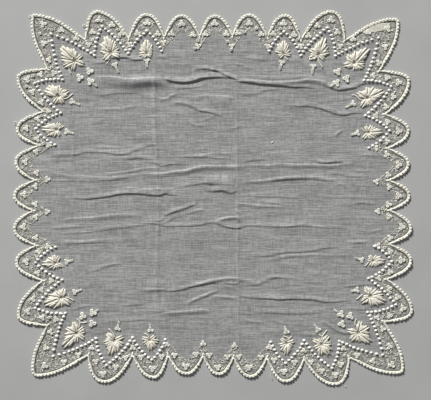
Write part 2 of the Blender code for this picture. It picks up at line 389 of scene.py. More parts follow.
def inside(x, y, ring):
    """Which of the points lie inside a closed ring."""
    within = np.zeros(x.shape, bool)
    for (ax, ay), (bx, by) in zip(ring, np.roll(ring, -1, axis=0)):
        if ay != by:
            crosses = (ay > y) != (by > y)
            within ^= crosses & (x < ax + (y - ay) * (bx - ax) / (by - ay))
    return within


def beside(x, y, line):
    """The step from the nearest point of a line, the side, and how far along it is."""
    away = np.full(x.shape, np.inf)
    off_x, off_y, side, along = (np.zeros(x.shape) for _ in range(4))
    for index, (start, run) in enumerate(zip(line[:-1], np.diff(line, axis=0))):
        dx = x - start[0]
        dy = y - start[1]
        share = np.clip((dx * run[0] + dy * run[1]) / (run @ run), 0, 1)
        dx = dx - run[0] * share
        dy = dy - run[1] * share
        closer = np.hypot(dx, dy) < away
        away[closer] = np.hypot(dx, dy)[closer]
        off_x[closer] = dx[closer]
        off_y[closer] = dy[closer]
        side[closer] = np.sign(run[0] * dy - run[1] * dx)[closer]
        along[closer] = ((index + share) / (len(line) - 1))[closer]
    return off_x, off_y, side, along


trim_ring = ring_inside(TRIM_INSET)

# %% [markdown]
# ## Folds
# The cloth was stored folded in three and never quite ironed flat. Two pressed folds
# run down it, and the rest are slack wrinkles that run across. Seen from above in
# raking light, a wrinkle reads as one thin dark or bright line, because one of its
# sides is steep and the other fades away slowly. So each wrinkle is drawn as
# a smooth line through a few points on its steep side: dark where that side turns away
# from the light, bright where it turns towards it, and broad where a wide soft hollow
# turns away. A cloth simulation would not put them in these places.

# %% The creases, in millimetres
# kind, height, width of the slow side, then x, y, x, y and so on from left to right
CREASES = (
    ("pressed", 0.40, 2.4, -60, 166, -59.5, 60, -57.5, -2, -57.5, -90, -57, -162),
    ("pressed", 0.35, 2.2, 25, 166, 25, 60, 25, -2, 26, -90, 27, -162),
    ("pressed", 0.55, 1.8, -147, 67, -147, 52, -147, 37),
    ("dark", 0.28, 3, -60, 50, -60.5, 85, -60.5, 118, -61, 152),
    ("dark", 0.22, 3, -58.5, -128, -58.5, -80, -58, -30),
    ("bright", 0.08, 3, -57, -22, -56, 0, -56.5, 32),
    ("bright", 0.10, 3, 26.5, -150, 26, -60, 25.5, 0, 25.5, 60),
    ("broad", 0.45, 9, -108, 118, -84, 117.5, -68, 118.5, -54, 118),
    ("broad", 0.60, 7, -84, 117.5, -70, 118.5, -60, 118, -46, 115.5),
    ("broad", 0.40, 8, -8, 97, 4, 98, 18, 97),
    ("broad", 0.35, 9, -84, 60, -66, 61, -48, 60),
    ("broad", 0.55, 6, -10, 14.5, 6, 15.5, 23, 14),
    ("broad", 0.50, 5, 0, 9, 12, 7.5, 25, 6),
    ("dark", 0.35, 3, -62.5, 57, -60, 53, -57.5, 49),
    ("dark", 0.22, 4, -37, 40, -32.5, 42.5, -20, 42.5, -3, 42, 8, 41, 20, 41),
    ("bright", 0.20, 4, -34, 44, -12, 45.5, -2, 47.5, 9, 48, 19, 47),
    ("broad", 0.35, 8, 61, -34, 82, -34, 102, -33),
    ("broad", 0.35, 6, 70, 120, 88, 120.5, 106, 121, 118, 118),
    ("broad", 0.10, 8, -70, -98, -59, -98, -48, -97),
    ("bright", 1.40, 15, -124, 127, -109, 128, -101, 127, -92, 125, -77, 125.5, -65, 126.5, -46, 126),
    ("dark", 0.85, 4, -2, 134.5, 4, 133, 9, 130.5, 14, 128, 20.5, 125.5, 26, 123.5),
    ("dark", 1.05, 6, -51, 126, -48, 123.5, -39, 121.5, -29, 121, -20, 122.5, -13, 125, -6, 126, 4,
     126.5, 18, 125.5),
    ("dark", 0.45, 5, -20, 134, -11, 135, -4, 134.5, 3, 133),
    ("dark", 0.22, 6, -128, 108, -116, 107.5, -105, 109, -88, 109.5, -77, 108.5, -66, 104.5, -60, 104),
    ("bright", 0.30, 4, -60, 108, -52, 104.5, -44, 108.5, -39, 111),
    ("dark", 0.24, 5, -40, 112, -33, 114.5, -19, 115.5, -8, 117.5),
    ("bright", 0.22, 5, -32, 107, -17, 107, -6, 108.5, 8, 108, 20, 106, 23, 104),
    ("dark", 0.45, 5, -42, 99, -32, 98.5, -23, 95.5, -14, 91, -6, 90, 4, 87, 9, 85),
    ("dark", 0.18, 4, -32, 83, -22, 77, -12, 73.5),
    ("dark", 0.14, 4, -9, 81, 2, 84.5),
    ("dark", 0.60, 4, -127, 141, -115, 141, -109, 144.5, -105, 146.5, -96, 147, -89, 146.5, -84,
     144.5, -76, 144.5, -70, 147, -64, 147.5),
    ("dark", 0.30, 4, -60, 147, -54, 147, -49, 145.5),
    ("bright", 0.26, 3, -113, 139.5, -108, 143, -106, 145.5),
    ("bright", 0.14, 4, -151, 93.5, -143, 92.5, -133, 92.5),
    ("bright", 0.14, 4, -123, 93.5, -106, 95, -94, 94.5, -83, 98.5, -77, 99),
    ("dark", 0.18, 4, -128, 77, -122, 78, -114, 81.5),
    ("dark", 0.65, 4, 23, 122, 34, 121.5, 51, 119, 67, 118, 84, 116, 95, 116, 106, 114.5),
    ("bright", 0.75, 5, 26, 124, 42, 124, 60, 122, 76, 122.5, 88, 123, 99, 125, 111, 124, 119, 122),
    ("dark", 0.14, 4, 26, 125.5, 45, 125.5, 60, 124.5, 76, 124.5, 90, 126, 104, 125.5),
    ("dark", 0.70, 5, 113, 119, 123, 115.5, 131, 113, 140, 114, 149, 115.5, 158, 120, 175, 120),
    ("dark", 0.22, 5, 24, 110, 34, 108, 45, 108.5, 51, 111, 58, 113, 71, 114),
    ("dark", 0.55, 6, 81, 96.5, 90, 95.5, 98, 96, 111, 94, 120, 91, 132, 87, 140, 87, 149, 89, 158,
     88.5),
    ("bright", 0.35, 3, 23, 142, 31, 140, 42, 134.5),
    ("dark", 0.22, 4, 35, 147, 46, 144.5, 55, 144.5),
    ("dark", 0.40, 3, 128, 63.5, 132, 67.5, 137, 70.5),
    ("bright", 0.14, 3, 13, 73, 23, 74.5, 30, 78),
    ("dark", 0.18, 3, 142, 109.5, 150, 112.5),
    ("dark", 0.14, 3, 133, 102, 145, 104),
    ("dark", 0.40, 5, -171, 44, -158, 44.5, -144, 45, -135, 47.5, -122, 47.5, -109, 46.5, -101,
     45.5, -93, 45.5, -85, 48, -77, 50.5, -70, 54, -61, 55),
    ("dark", 0.18, 4, -130, 49.5, -123, 51.5, -110, 52, -98, 51.5),
    ("dark", 0.38, 4, -95, 42, -86, 40.5, -81, 42, -70, 40.5, -59, 40),
    ("dark", 0.30, 4, -73, 38, -61, 36, -54, 33, -43, 35, -24, 35),
    ("bright", 0.80, 6, -74, 26, -56, 26, -44, 28, -30, 29, -19, 32.5, -8, 34, -3, 34, 12, 34, 26,
     34, 37, 35),
    ("bright", 0.45, 5, 35, 34.5, 50, 35.5, 60, 35, 67, 36.5, 83, 35.5, 99, 35.5, 120, 34.5, 133,
     35.5, 149, 38),
    ("bright", 0.26, 5, -171, 26.5, -162, 26.5, -151, 23.5, -139, 23.5, -123, 22.5, -105, 22.5,
     -92, 23.5, -76, 26.5, -67, 28, -57, 26.5),
    ("bright", 0.22, 4, -125, 24.5, -105, 26.5, -87, 29, -76, 31.5, -66, 32, -57, 30.5),
    ("dark", 0.18, 5, -171, 17, -149, 17, -125, 17, -105, 18.5, -92, 21, -83, 22.5),
    ("dark", 0.61, 5, -148, 0, -135, -1.5, -124, -0.5, -109, 1.5, -101, 3.5, -85, 4.5, -72, 3.5,
     -56, 2.5, -50, 4.5, -45, 3, -37, 2.5),
    ("bright", 0.55, 5, -94, 11, -83, 11, -72, 9.5, -59, 10, -50, 10, -42, 10.5),
    ("bright", 0.40, 5, -160, -22, -144, -20.5, -124, -19.5, -114, -18, -101, -16.5, -87, -16.5,
     -74, -17.5),
    ("dark", 0.26, 4, -171, -32.5, -160, -32, -149, -31.5, -137, -31),
    ("dark", 0.35, 5, -72, -27.5, -65, -27, -56, -28.5, -51, -30, -39, -30, -17, -29, -3, -26.5, 2,
     -26.5),
    ("dark", 0.50, 4, -52, -19.5, -41, -15, -29, -11, -17, -6.5),
    ("dark", 0.30, 3, -65, -23.5, -56, -24.5, -51, -22),
    ("bright", 0.18, 3, -55, -26.5, -44, -20.5, -38, -17.5),
    ("dark", 0.26, 4, -30, -18, -17, -14.5, -8, -13.5),
    ("dark", 0.35, 6, -39, 10, -17, 14, -8, 15, -3, 14.5, 14, 14, 23, 13),
    ("dark", 0.35, 5, -9, 8.5, -1, 6.5, 10, 7.5, 18, 4.5, 25, 6.5),
    ("dark", 0.18, 5, -157, -37.5, -135, -37, -105, -32.5, -83, -30.5, -71, -27.5),
    ("bright", 0.55, 4, 29, 16.5, 41, 18, 60, 19.5, 70, 21.5, 86, 22.5, 99, 23, 111, 22.5, 127, 20),
    ("dark", 0.20, 4, 60, 17, 76, 19, 94, 19.5, 108, 19, 120, 17.5, 130, 16.5),
    ("dark", 0.22, 3, 131, 14, 137, 12, 141, 8.5),
    ("dark", 0.22, 4, 122, 25, 131, 24.5, 139, 22.5, 150, 22, 160, 21),
    ("dark", 0.22, 4, 34, 2.5, 45, 1.5, 58, 1, 76, 0, 94, -0.5),
    ("dark", 0.14, 4, 115, 0, 145, -0.5, 175, -1.5),
    ("bright", 0.50, 4, 25, -4.5, 40, -6.5, 50, -7.5, 65, -8, 75, -9.5),
    ("dark", 0.30, 3, 53, -2.5, 59, -6, 72, -6.5),
    ("dark", 0.35, 4, 142, -8, 154, -6, 161, -6.5, 171, -7.5),
    ("dark", 0.55, 5, 1, -26, 10, -29.5, 18, -31.5, 27, -32, 35, -29),
    ("bright", 0.65, 4, 1, -24, 12, -20.5, 23, -19.5, 30, -21.5),
    ("dark", 0.35, 4, 25, -24, 31, -26.5, 35, -29, 46, -29.5, 65, -30.5, 81, -30.5, 94, -29, 105,
     -30.5, 120, -32, 139, -32),
    ("bright", 0.22, 3, 25, -12, 31, -17),
    ("bright", 0.18, 3, 25, -17, 31, -21),
    ("dark", 0.22, 4, 33, 37.5, 45, 39.5, 56, 39.5),
    ("dark", 0.48, 4, 103, 39, 117, 36.5, 129, 37.5, 137, 37.5),
    ("dark", 0.30, 4, 154, 44, 165, 43.5, 175, 42.5),
    ("dark", 0.18, 3, 163, -37.5, 175, -34.5),
    ("dark", 0.18, 4, 140, -48, 165, -46.5),
    ("dark", 0.35, 3, -147, -63.5, -151, -53, -153, -44),
    ("dark", 0.50, 3, -139, -94.5, -141, -89.5, -144, -81.5, -147, -71.5),
    ("bright", 0.22, 4, -165, -45, -140, -45, -112, -42.5),
    ("dark", 0.30, 4, -133, -80, -123, -76.5, -112, -72.5, -105, -70.5, -97, -70.5),
    ("dark", 0.50, 4, -51, -98.5, -35, -97, -25, -94, -14, -91.5, -1, -89, 4, -89.5),
    ("bright", 0.50, 4, -18, -90, -8, -87, -3, -85.5, 10, -84, 23, -83.5, 32, -84.5, 43, -87.5),
    ("dark", 0.26, 4, 10, -89.5, 23, -91, 30, -87),
    ("bright", 0.35, 4, -80, -94, -70, -95.5, -60, -95, -48, -94.5),
    ("bright", 0.60, 4, -29, -110.5, -19, -105, -8, -101, -3, -98.5, 5, -96.5),
    ("bright", 0.50, 5, -54, -120.5, -39, -119, -22, -118, -11, -117, -3, -118.5),
    ("dark", 0.35, 4, -95, -113.5, -83, -113, -74, -112),
    ("dark", 0.22, 4, -125, -144, -118, -142, -107, -140.5),
    ("dark", 0.26, 5, -145, -117.5, -137, -115, -128, -114),
    ("dark", 0.18, 5, -110, -129, -89, -130, -77, -128.5, -62, -127.5),
    ("dark", 0.14, 5, -171, -49, -138, -48, -108, -46.5),
    ("dark", 0.26, 6, 33, -62, 48, -61.5, 58, -61, 67, -59, 76, -57.5, 91, -57, 105, -56, 120,
     -52.5, 133, -52),
    ("bright", 0.26, 4, 50, -64, 63, -63, 76, -60, 94, -59, 108, -58.5, 128, -59.5, 146, -58.5),
    ("dark", 0.35, 4, 33, -89.5, 45, -91.5, 54, -88.5, 60, -85, 70, -84, 83, -86),
    ("bright", 0.35, 4, -3, -102.5, 10, -102.5, 20, -103.5, 27, -104),
    ("dark", 0.55, 5, 26, -102.5, 34, -104.5, 45, -105.5, 58, -106, 71, -107, 81, -106, 94, -106.5,
     106, -107.5, 117, -109.5, 128, -109.5, 142, -108),
    ("bright", 0.22, 4, 29, -126, 42, -128.5, 57, -129.5),
    ("bright", 0.14, 3, 59, -127.5, 71, -130, 79, -132.5),
    ("bright", 0.70, 3, 115, -128, 123, -133, 131, -138, 142, -142),
    ("dark", 0.26, 4, 137, -94, 148, -93, 158, -91.5, 173, -92),
    ("dark", 0.22, 4, 139, -116.5, 156, -118, 163, -117),
    ("dark", 0.22, 6, 43, -119.5, 60, -121, 76, -121.5, 94, -122, 111, -120.5, 121, -119.5),
    ("dark", 0.26, 5, 94, -144, 100, -145, 109, -145),
    ("dark", 0.18, 4, 145, -48, 163, -47.5),
    ("bright", 0.14, 3, 8, -90, 20, -93, 26, -96),
)

# %% [markdown]
# The height of the cloth is one function of x and y, so that the cloth, the cord and
# every stitch take it from the same place and stay together. Between the folds the
# muslin is never dead flat: fine wrinkles run across it, from a value noise that is
# long from left to right and short from top to bottom.

# %% The height of the cloth above the floor
CLOTH_LEVEL = 0.8
STEEP_WIDTH = {"dark": 1.3, "bright": 1.3, "broad": 8.0, "pressed": 0.0}
FOLD_BASE = 0.14
FOLD_GAIN = 1.5
FOLD_FADE = 0.4
CURVE_PARTS = 4
# cell length, cell width, height, seed
WRINKLES = (
    (75.0, 32.0, 0.35, 3),
    (55.0, 13.0, 0.20, 4),
    (36.0, 5.0, 0.14, 5),
    (20.0, 2.6, 0.075, 8),
    (7.0, 40.0, 0.05, 13),
)
NOISE_CELLS = 180


def smooth_line(places):
    """A smooth line through every one of a crease's points."""
    points = np.array(places, float).reshape(-1, 2)
    ends = np.vstack((2 * points[0] - points[1], points, 2 * points[-1] - points[-2]))
    share = np.linspace(0, 1, CURVE_PARTS, endpoint=False)[:, None]
    line = []
    for a, b, c, d in zip(ends[:-3], ends[1:-2], ends[2:-1], ends[3:]):
        bend = 2 * a - 5 * b + 4 * c - d + share * (3 * (b - c) + d - a)
        line.append(b + share / 2 * (c - a + share * bend))
    return np.vstack((*line, points[-1:]))


def s_curve(share):
    """A share from 0 to 1 that leaves and arrives gently."""
    return share * share * (3 - 2 * share)


def value_noise(x, y, cell_x, cell_y, seed):
    """Smooth random values from -1 to 1, in cells of a given length and width."""
    table = np.random.default_rng(seed).uniform(-1, 1, (NOISE_CELLS, NOISE_CELLS))
    u = x / cell_x + NOISE_CELLS / 2
    v = y / cell_y + NOISE_CELLS / 2
    column = np.floor(u).astype(int)
    row = np.floor(v).astype(int)
    fu = s_curve(u - column)
    fv = s_curve(v - row)
    near = table[row, column] * (1 - fu) + table[row, column + 1] * fu
    far = table[row + 1, column] * (1 - fu) + table[row + 1, column + 1] * fu
    return near * (1 - fv) + far * fv


def crease_height(x, y, kind, height, slow, line):
    off_x, off_y, side, along = beside(x, y, line)
    offset = np.hypot(off_x, off_y)
    if kind == "pressed":
        width = slow
    else:
        steep = STEEP_WIDTH[kind]
        offset = offset * (-side if kind == "bright" else side) - steep / 2
        width = np.where(offset > 0, slow, steep)
        height = FOLD_BASE + FOLD_GAIN * height
    nearness = np.clip(1 - np.abs(offset) / width, 0, 1)
    fade = np.maximum(np.sin(math.pi * along), 0) ** FOLD_FADE
    return height * fade * np.sin(math.pi / 2 * nearness) ** 2


crease_lines = [smooth_line(crease[3:]) for crease in CREASES]


def cloth_z(x, y):
    """How high the middle of the muslin is, in millimetres."""
    z = np.full(x.shape, CLOTH_LEVEL)
    for cell_x, cell_y, height, seed in WRINKLES:
        z += height * value_noise(x, y, cell_x, cell_y, seed)
    for (kind, height, slow, *_), line in zip(CREASES, crease_lines):
        reach = slow + STEEP_WIDTH[kind]
        low = line.min(axis=0) - reach
        high = line.max(axis=0) + reach
        near = (x > low[0]) & (x < high[0]) & (y > low[1]) & (y < high[1])
        if near.any():
            z[near] += crease_height(x[near], y[near], kind, height, slow, line)
    return z


print(len(crease_lines), "creases drawn, over", len(WRINKLES), "layers of wrinkles")

# %% [markdown]
# ## Making a piece
# Every piece is a mesh worked out in millimetres and stored in metres. It rides on the
# one body of the model, so that it stays with the cloth in any pose. Nothing may sink
# into the table, so the underside of a stitch that would reach it is pressed flat.

# %% A helper that makes a piece
TABLE_GAP = 0.02


def add_piece(name, points, faces, finish):
    points = np.array(points, float)
    points[:, 2] = np.maximum(points[:, 2], TABLE_GAP)
    mesh = bpy.data.meshes.new(name)
    mesh.from_pydata((points * MM).tolist(), [], faces)
    mesh.polygons.foreach_set("use_smooth", [True] * len(mesh.polygons))
    mesh.materials.append(finish.material)
    mesh.update()
    piece = bpy.data.objects.new(name, mesh)
    bpy.context.scene.collection.objects.link(piece)
    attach(piece, "root")
    triangles = sum(len(face) - 2 for face in faces)
    print(name, triangles, "triangles")
    return piece


# %% [markdown]
# ## The muslin ground
# The ground is a single thin sheet of about 94,000 small faces, finer from top to
# bottom than from left to right because the wrinkles run across, and finer again
# where a fold runs down or a crease lies aslant. Faces whose middle lies inside the
# edge are kept, and the points round the rim are pulled onto the trim line under the
# cord. Each point also says for the finish whether it lies in the worked border.

# %% The two lines inside each scallop
ROW_BOW = 2.0
CHEVRON_BOW = 0.8
BOW_POINTS = 18


def border_rows():
    """Each scallop's two inner lines: kind, left line and right line, from the V's point."""
    rows = []
    before = np.array(SCALLOPS[-1][8:10])
    for _, kind, *numbers in SCALLOPS:
        point = np.array(numbers[4:6])
        after = np.array(numbers[6:8])
        heart = (before + point + after) / 3
        pair = []
        for end in (before, after):
            chord = end - point
            aside = left_of(chord) / np.hypot(*chord)
            middle = (point + end) / 2
            if aside @ (middle - heart) < 0:
                aside = -aside
            bow = CHEVRON_BOW if kind == "plain" else ROW_BOW
            handle = middle + aside * 2 * bow
            share = np.linspace(0, 1, BOW_POINTS)[:, None]
            line = point * (1 - share) ** 2 + 2 * handle * share * (1 - share) + end * share ** 2
            pair.append(line)
        rows.append((kind, *pair))
        before = after
    return rows


inner_rows = border_rows()
field_ring = np.vstack([np.vstack((left[:0:-1], right[:-1])) for _, left, right in inner_rows])
print("the inner field has", len(field_ring), "points round it")

# %% Weave the sheet
GRID_X = 3.2
GRID_Y = 0.67
# from x, to x, and the step between columns there
FINE_COLUMNS = (
    (-154.0, -139.0, 1.5),
    (-63.0, -54.0, 0.9),
    (-54.0, -40.0, 1.5),
    (-26.0, 21.5, 1.5),
    (21.5, 29.5, 0.9),
    (113.0, 143.0, 1.6),
)

low = trim_ring.min(axis=0)
high = trim_ring.max(axis=0)
columns = np.arange(low[0], high[0] + GRID_X, GRID_X)
for from_x, to_x, step in FINE_COLUMNS:
    columns = columns[(columns < from_x) | (columns > to_x)]
    columns = np.append(columns, np.arange(from_x, to_x, step))
columns = np.sort(columns)
x, y = np.meshgrid(columns, np.arange(low[1], high[1] + GRID_Y, GRID_Y))
kept = inside((x[:-1, :-1] + x[:-1, 1:]) / 2, y[:-1, :-1] + GRID_Y / 2, trim_ring)
faces_at = np.zeros(x.shape, int)
for row in (0, 1):
    for column in (0, 1):
        faces_at[row:row + kept.shape[0], column:column + kept.shape[1]] += kept
used = faces_at > 0
number = np.full(x.shape, -1)
number[used] = np.arange(used.sum())
flat_x = x[used]
flat_y = y[used]
rim = faces_at[used] < 4
closed_trim = np.vstack((trim_ring, trim_ring[:1]))
off_x, off_y, _, _ = beside(flat_x[rim], flat_y[rim], closed_trim)
flat_x[rim] -= off_x
flat_y[rim] -= off_y
corners = [number[:-1, :-1], number[:-1, 1:], number[1:, 1:], number[1:, :-1]]
ground_faces = np.column_stack([corner[kept] for corner in corners]).tolist()
in_border = ~inside(flat_x, flat_y, field_ring)
print(len(ground_faces), "faces in the ground")

# %% [markdown]
# Sheer muslin looks grey, because half of what one sees lies between its threads. The
# finish keeps that tone on the pale floor with a grey colour that lets a little of the
# floor through. Slubs, which are thicker places in hand spun yarn, show as short
# streaks along both directions of the weave. The border is a shade warmer, and mottled
# by the drawn threads. One small stain has stayed.

# %% The finish of the muslin
GROUND_TONES = (0.250, 0.253, 0.245, 1), (0.420, 0.423, 0.410, 1)
NET_TONES = (0.20, 0.193, 0.172, 1), (0.46, 0.447, 0.41, 1)
STAIN_TONE = (0.16, 0.09, 0.05, 1)
STAIN_PLACE = (-0.107, 0.012, 0.001)
STAIN_REACH = 0.0014
STAIN_STRENGTH = 0.8
CLOUD_DEPTH = 0.12
GRAIN_DEPTH = 0.22
WEAVE_SCALE = 0.45
WEAVE_DEPTH = 0.00012
OPACITY = (0.84, 0.95)

muslin = Finish("sheer_muslin", 0.9, sheen=0.15)
across_slubs = muslin.noise((24, 1.1, 20))
down_slubs = muslin.sum("MULTIPLY", muslin.noise((1.1, 14, 20)), 0.6)
clouds = muslin.noise((38, 30, 30), detail=3.0)
grain = muslin.noise((5, 1.5, 20), detail=0.0)
tone = muslin.spread(muslin.sum("ADD", across_slubs, down_slubs), 0.6, 1.0)
tone = muslin.sum("ADD", tone, muslin.spread(clouds, NOISE_LOW, NOISE_HIGH, -CLOUD_DEPTH, CLOUD_DEPTH))
tone = muslin.sum("ADD", tone, muslin.spread(grain, 0.3, 0.7, -GRAIN_DEPTH, GRAIN_DEPTH))

openwork = muslin.node("Attribute", {}, out=2, attribute_name="openwork")
net = muslin.spread(muslin.noise((2.6, 2.4, 20), detail=1.0), 0.36, 0.62)
worked_tone = muslin.mix(openwork, muslin.mix(tone, *GROUND_TONES), muslin.mix(net, *NET_TONES))
stain = muslin.node("VectorMath", {0: muslin.place((1, 1, 1)), 1: STAIN_PLACE}, out=1,
                    operation="DISTANCE")
stain = muslin.spread(stain, 0.0, STAIN_REACH, STAIN_STRENGTH, 0.0)
muslin.colour(muslin.mix(stain, worked_tone, STAIN_TONE))

threads = muslin.sum("MULTIPLY", muslin.ribs("X", WEAVE_SCALE), muslin.ribs("Y", WEAVE_SCALE))
muslin.bump(muslin.sum("ADD", threads, tone), WEAVE_DEPTH, 0.5)
muslin.feed(muslin.shader.inputs["Alpha"], muslin.spread(tone, 0.0, 1.0, *OPACITY))


def store_number(piece, name, values):
    layer = piece.data.attributes.new(name, "FLOAT", "POINT")
    layer.data.foreach_set("value", values.astype(np.float32))


ground_z = cloth_z(flat_x, flat_y)
ground = add_piece("muslin_ground", np.column_stack((flat_x, flat_y, ground_z)), ground_faces, muslin)
store_number(ground, "openwork", in_border)
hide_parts("ground_cloth")
print("cloth height from", round(ground_z.min(), 2), "to", round(ground_z.max(), 2), "mm")

# %% [markdown]
# ## The buttonholed edge
# Close buttonhole stitches over a padding thread make a firm ribbed cord round every
# scallop. It is modelled as one swept tube, whose width swells and shrinks with each
# stitch. Near a notch the cord is the outermost thing; round the tip it lies further
# in, because the thread loops stand outside it.

# %% A helper that sweeps a tube along a line
UP = np.array((0.0, 0.0, 1.0))


def tube(path, half_width, half_height, sides=8, closed=False):
    """Points and faces of a tube along a path, with a half width at each of its points."""
    count = len(path)
    if closed:
        ahead = np.roll(path, -1, axis=0) - np.roll(path, 1, axis=0)
    else:
        ahead = np.gradient(path, axis=0)
    ahead /= np.linalg.norm(ahead, axis=1)[:, None]
    aside = np.cross(UP, ahead)
    aside /= np.linalg.norm(aside, axis=1)[:, None]
    over = np.cross(ahead, aside)
    turn = np.arange(sides) * 2 * math.pi / sides
    wide = np.broadcast_to(half_width, count)[:, None, None]
    high = np.broadcast_to(half_height, count)[:, None, None]
    points = (path[:, None, :] + aside[:, None, :] * np.cos(turn)[None, :, None] * wide
              + over[:, None, :] * np.sin(turn)[None, :, None] * high).reshape(-1, 3)
    faces = []
    for ring in range(count if closed else count - 1):
        after = (ring + 1) % count
        for side in range(sides):
            beyond = (side + 1) % sides
            faces.append((ring * sides + side, ring * sides + beyond,
                          after * sides + beyond, after * sides + side))
    if not closed:
        faces.append(tuple(range(sides))[::-1])
        faces.append(tuple((count - 1) * sides + side for side in range(sides)))
    return points, faces


# %% The finish of the edge thread
edge_thread = Finish("edge_thread", 0.75, sheen=0.1)
fresh = edge_thread.mottled(2.2, (0.68, 0.66, 0.55), (0.88, 0.87, 0.77))
edge_thread.colour(edge_thread.aged(fresh, 40, 0.3, (0.74, 0.70, 0.57)))
edge_thread.fibres(0.5, 0.6)

# %% Sweep the cord
CORD_STEP = 0.45
CORD_HALF_WIDTH = 1.0
CORD_HALF_HEIGHT = 0.65
CORD_LIFT = 0.2
STITCH_PITCH = 0.9
STITCH_SWELL = 0.14
CORD_INSET_NOTCH = 1.05
CORD_INSET_TIP = 2.35
LOOPS_START = 4.0
LOOPS_FULL = 11.0


def looped(line):
    """From 0 near a notch, where no loops stand, to 1 where they have their full size."""
    place = how_far(line)
    from_notch = np.minimum(place, place[-1] - place)
    return s_curve(np.clip((from_notch - LOOPS_START) / (LOOPS_FULL - LOOPS_START), 0, 1))


def on_cloth(line, lift):
    """A flat line, laid at a height over the cloth."""
    return np.column_stack((line, cloth_z(*line.T) + lift))


cord_lines = []
cord_swells = []
for lobe in lobes:
    line = spaced(lobe, CORD_STEP)
    inset = CORD_INSET_NOTCH + (CORD_INSET_TIP - CORD_INSET_NOTCH) * looped(line)
    swell = 1 + STITCH_SWELL * np.cos(2 * math.pi * np.arange(len(line)) * CORD_STEP / STITCH_PITCH)
    cord_lines.append((line + inward(line) * inset[:, None])[:-1])
    cord_swells.append(swell[:-1])
cord_swell = np.concatenate(cord_swells)
cord = tube(on_cloth(np.vstack(cord_lines), CORD_LIFT), CORD_HALF_WIDTH * cord_swell,
            CORD_HALF_HEIGHT * cord_swell, closed=True)
add_piece("edge_cord", *cord, edge_thread)

# %% [markdown]
# ## The thread loops
# Round the outside of the cord stands a row of small tight loops, so close that they
# read as pearls. Each one is a flattened bead, laid along the edge a little unevenly.
# All the small stitches are made this way: one template, copied to many places, with
# its foot following the height of the cloth.

# %% Helpers for small stitches


def heading_of(vector):
    return math.degrees(math.atan2(vector[1], vector[0]))


def bead(half_length, half_width, height, lift=0.0, turns=10, rings=6):
    """A smooth closed bead, with its middle lifted off its place."""
    points = [(0, 0, height)]
    for ring in range(1, rings):
        tilt = math.pi * ring / rings
        for turn in range(turns):
            angle = 2 * math.pi * turn / turns
            points.append((half_length * math.sin(tilt) * math.cos(angle),
                           half_width * math.sin(tilt) * math.sin(angle), height * math.cos(tilt)))
    points.append((0, 0, -height))
    last = len(points) - 1
    faces = [(0, 1 + turn, 1 + (turn + 1) % turns) for turn in range(turns)]
    for ring in range(rings - 2):
        here = 1 + ring * turns
        for turn in range(turns):
            beyond = (turn + 1) % turns
            faces.append((here + turn, here + turns + turn, here + turns + beyond, here + beyond))
    foot = last - turns
    faces += [(last, foot + (turn + 1) % turns, foot + turn) for turn in range(turns)]
    return np.array(points, float) + (0, 0, lift), faces


def add_stitches(name, template, places, finish):
    """A template at every place: x, y, heading in degrees, size along and across."""
    corners, faces = template
    x, y, heading, long, wide = np.array(places, float).T[:, :, None]
    heading = np.radians(heading)
    along = corners[:, 0] * long
    aside = corners[:, 1] * wide
    x = x + along * np.cos(heading) - aside * np.sin(heading)
    y = y + along * np.sin(heading) + aside * np.cos(heading)
    z = cloth_z(x, y) + corners[:, 2] * wide
    points = np.stack((x, y, z), axis=-1).reshape(-1, 3)
    starts = range(0, len(points), len(corners))
    every = [tuple(corner + start for corner in face) for start in starts for face in faces]
    add_piece(name, points, every, finish)
    print(len(places), "stitches in it")


# %% Set the loops round the scallops
LOOP_PITCH = 3.65
LOOP_INSET = 1.25
LOOP_HALF = (1.8, 1.4, 0.85)
LOOP_LIFT = 0.45
LOOP_SMALLEST = 0.6
LOOP_STEP = 0.2
LOOP_SHAKE = 2.2
LOOP_TURN = 22
dice = np.random.default_rng(21)

loops = []
for lobe in lobes:
    line = spaced(lobe, LOOP_STEP)
    growth = looped(line)
    normal = inward(line)
    middle = line + normal * LOOP_INSET
    room = len(line) * LOOP_STEP - 2 * LOOPS_START
    count = round(room / LOOP_PITCH)
    for place in range(count):
        at = (LOOPS_START + (place + 0.5) * room / count) / LOOP_STEP
        index = min(len(line) - 1, int(at + dice.uniform(-LOOP_SHAKE, LOOP_SHAKE)))
        size = LOOP_SMALLEST + (1 - LOOP_SMALLEST) * growth[index]
        size *= dice.uniform(0.86, 1.08)
        heading = heading_of(left_of(normal[index])) + dice.uniform(-LOOP_TURN, LOOP_TURN)
        loops.append((*middle[index], heading, size, size * dice.uniform(0.9, 1.05)))
add_stitches("edge_loops", bead(*LOOP_HALF, LOOP_LIFT), loops, edge_thread)

# %% [markdown]
# Where two scallops meet, the cords of both run together, and a short bar of the same
# stitches reaches from the notch into the border, so that the cloth can't tear there.

# %% Set a bar at each notch
BAR_HALF = (2.4, 1.1, 0.9)
BAR_REACH = 2.4

bars = []
for row in SCALLOPS:
    notch = np.array(row[4:6])
    inwards = np.array(row[8:10]) - notch
    inwards /= np.hypot(*inwards)
    bars.append((*(notch + inwards * BAR_REACH), heading_of(inwards), 1, 1))
add_stitches("notch_bars", bead(*BAR_HALF), bars, edge_thread)

# %% [markdown]
# ## Needle holes, in painted shade
# Every buttonhole stitch enters the muslin just inside the cord, and pulls a pinhole
# open there. A few more pinholes are left about the border, where a thread was fastened.
# They are made as flat grains on the cloth, since cutting a thousand holes would break
# the sheet into slivers. The grains are painted near black, as painted shade for the dark
# inside each hole, so that together they read as a thin dark dotted line.

# %% The finish of a hole: painted shade, near black
# painted shade: the near black of the shade inside a pinhole
painted_pinhole_shade = Finish("pinhole_painted_shade", 0.9)
painted_pinhole_shade.colour(painted_pinhole_shade.mottled(2, (0.012, 0.011, 0.010), (0.075, 0.071, 0.062)))

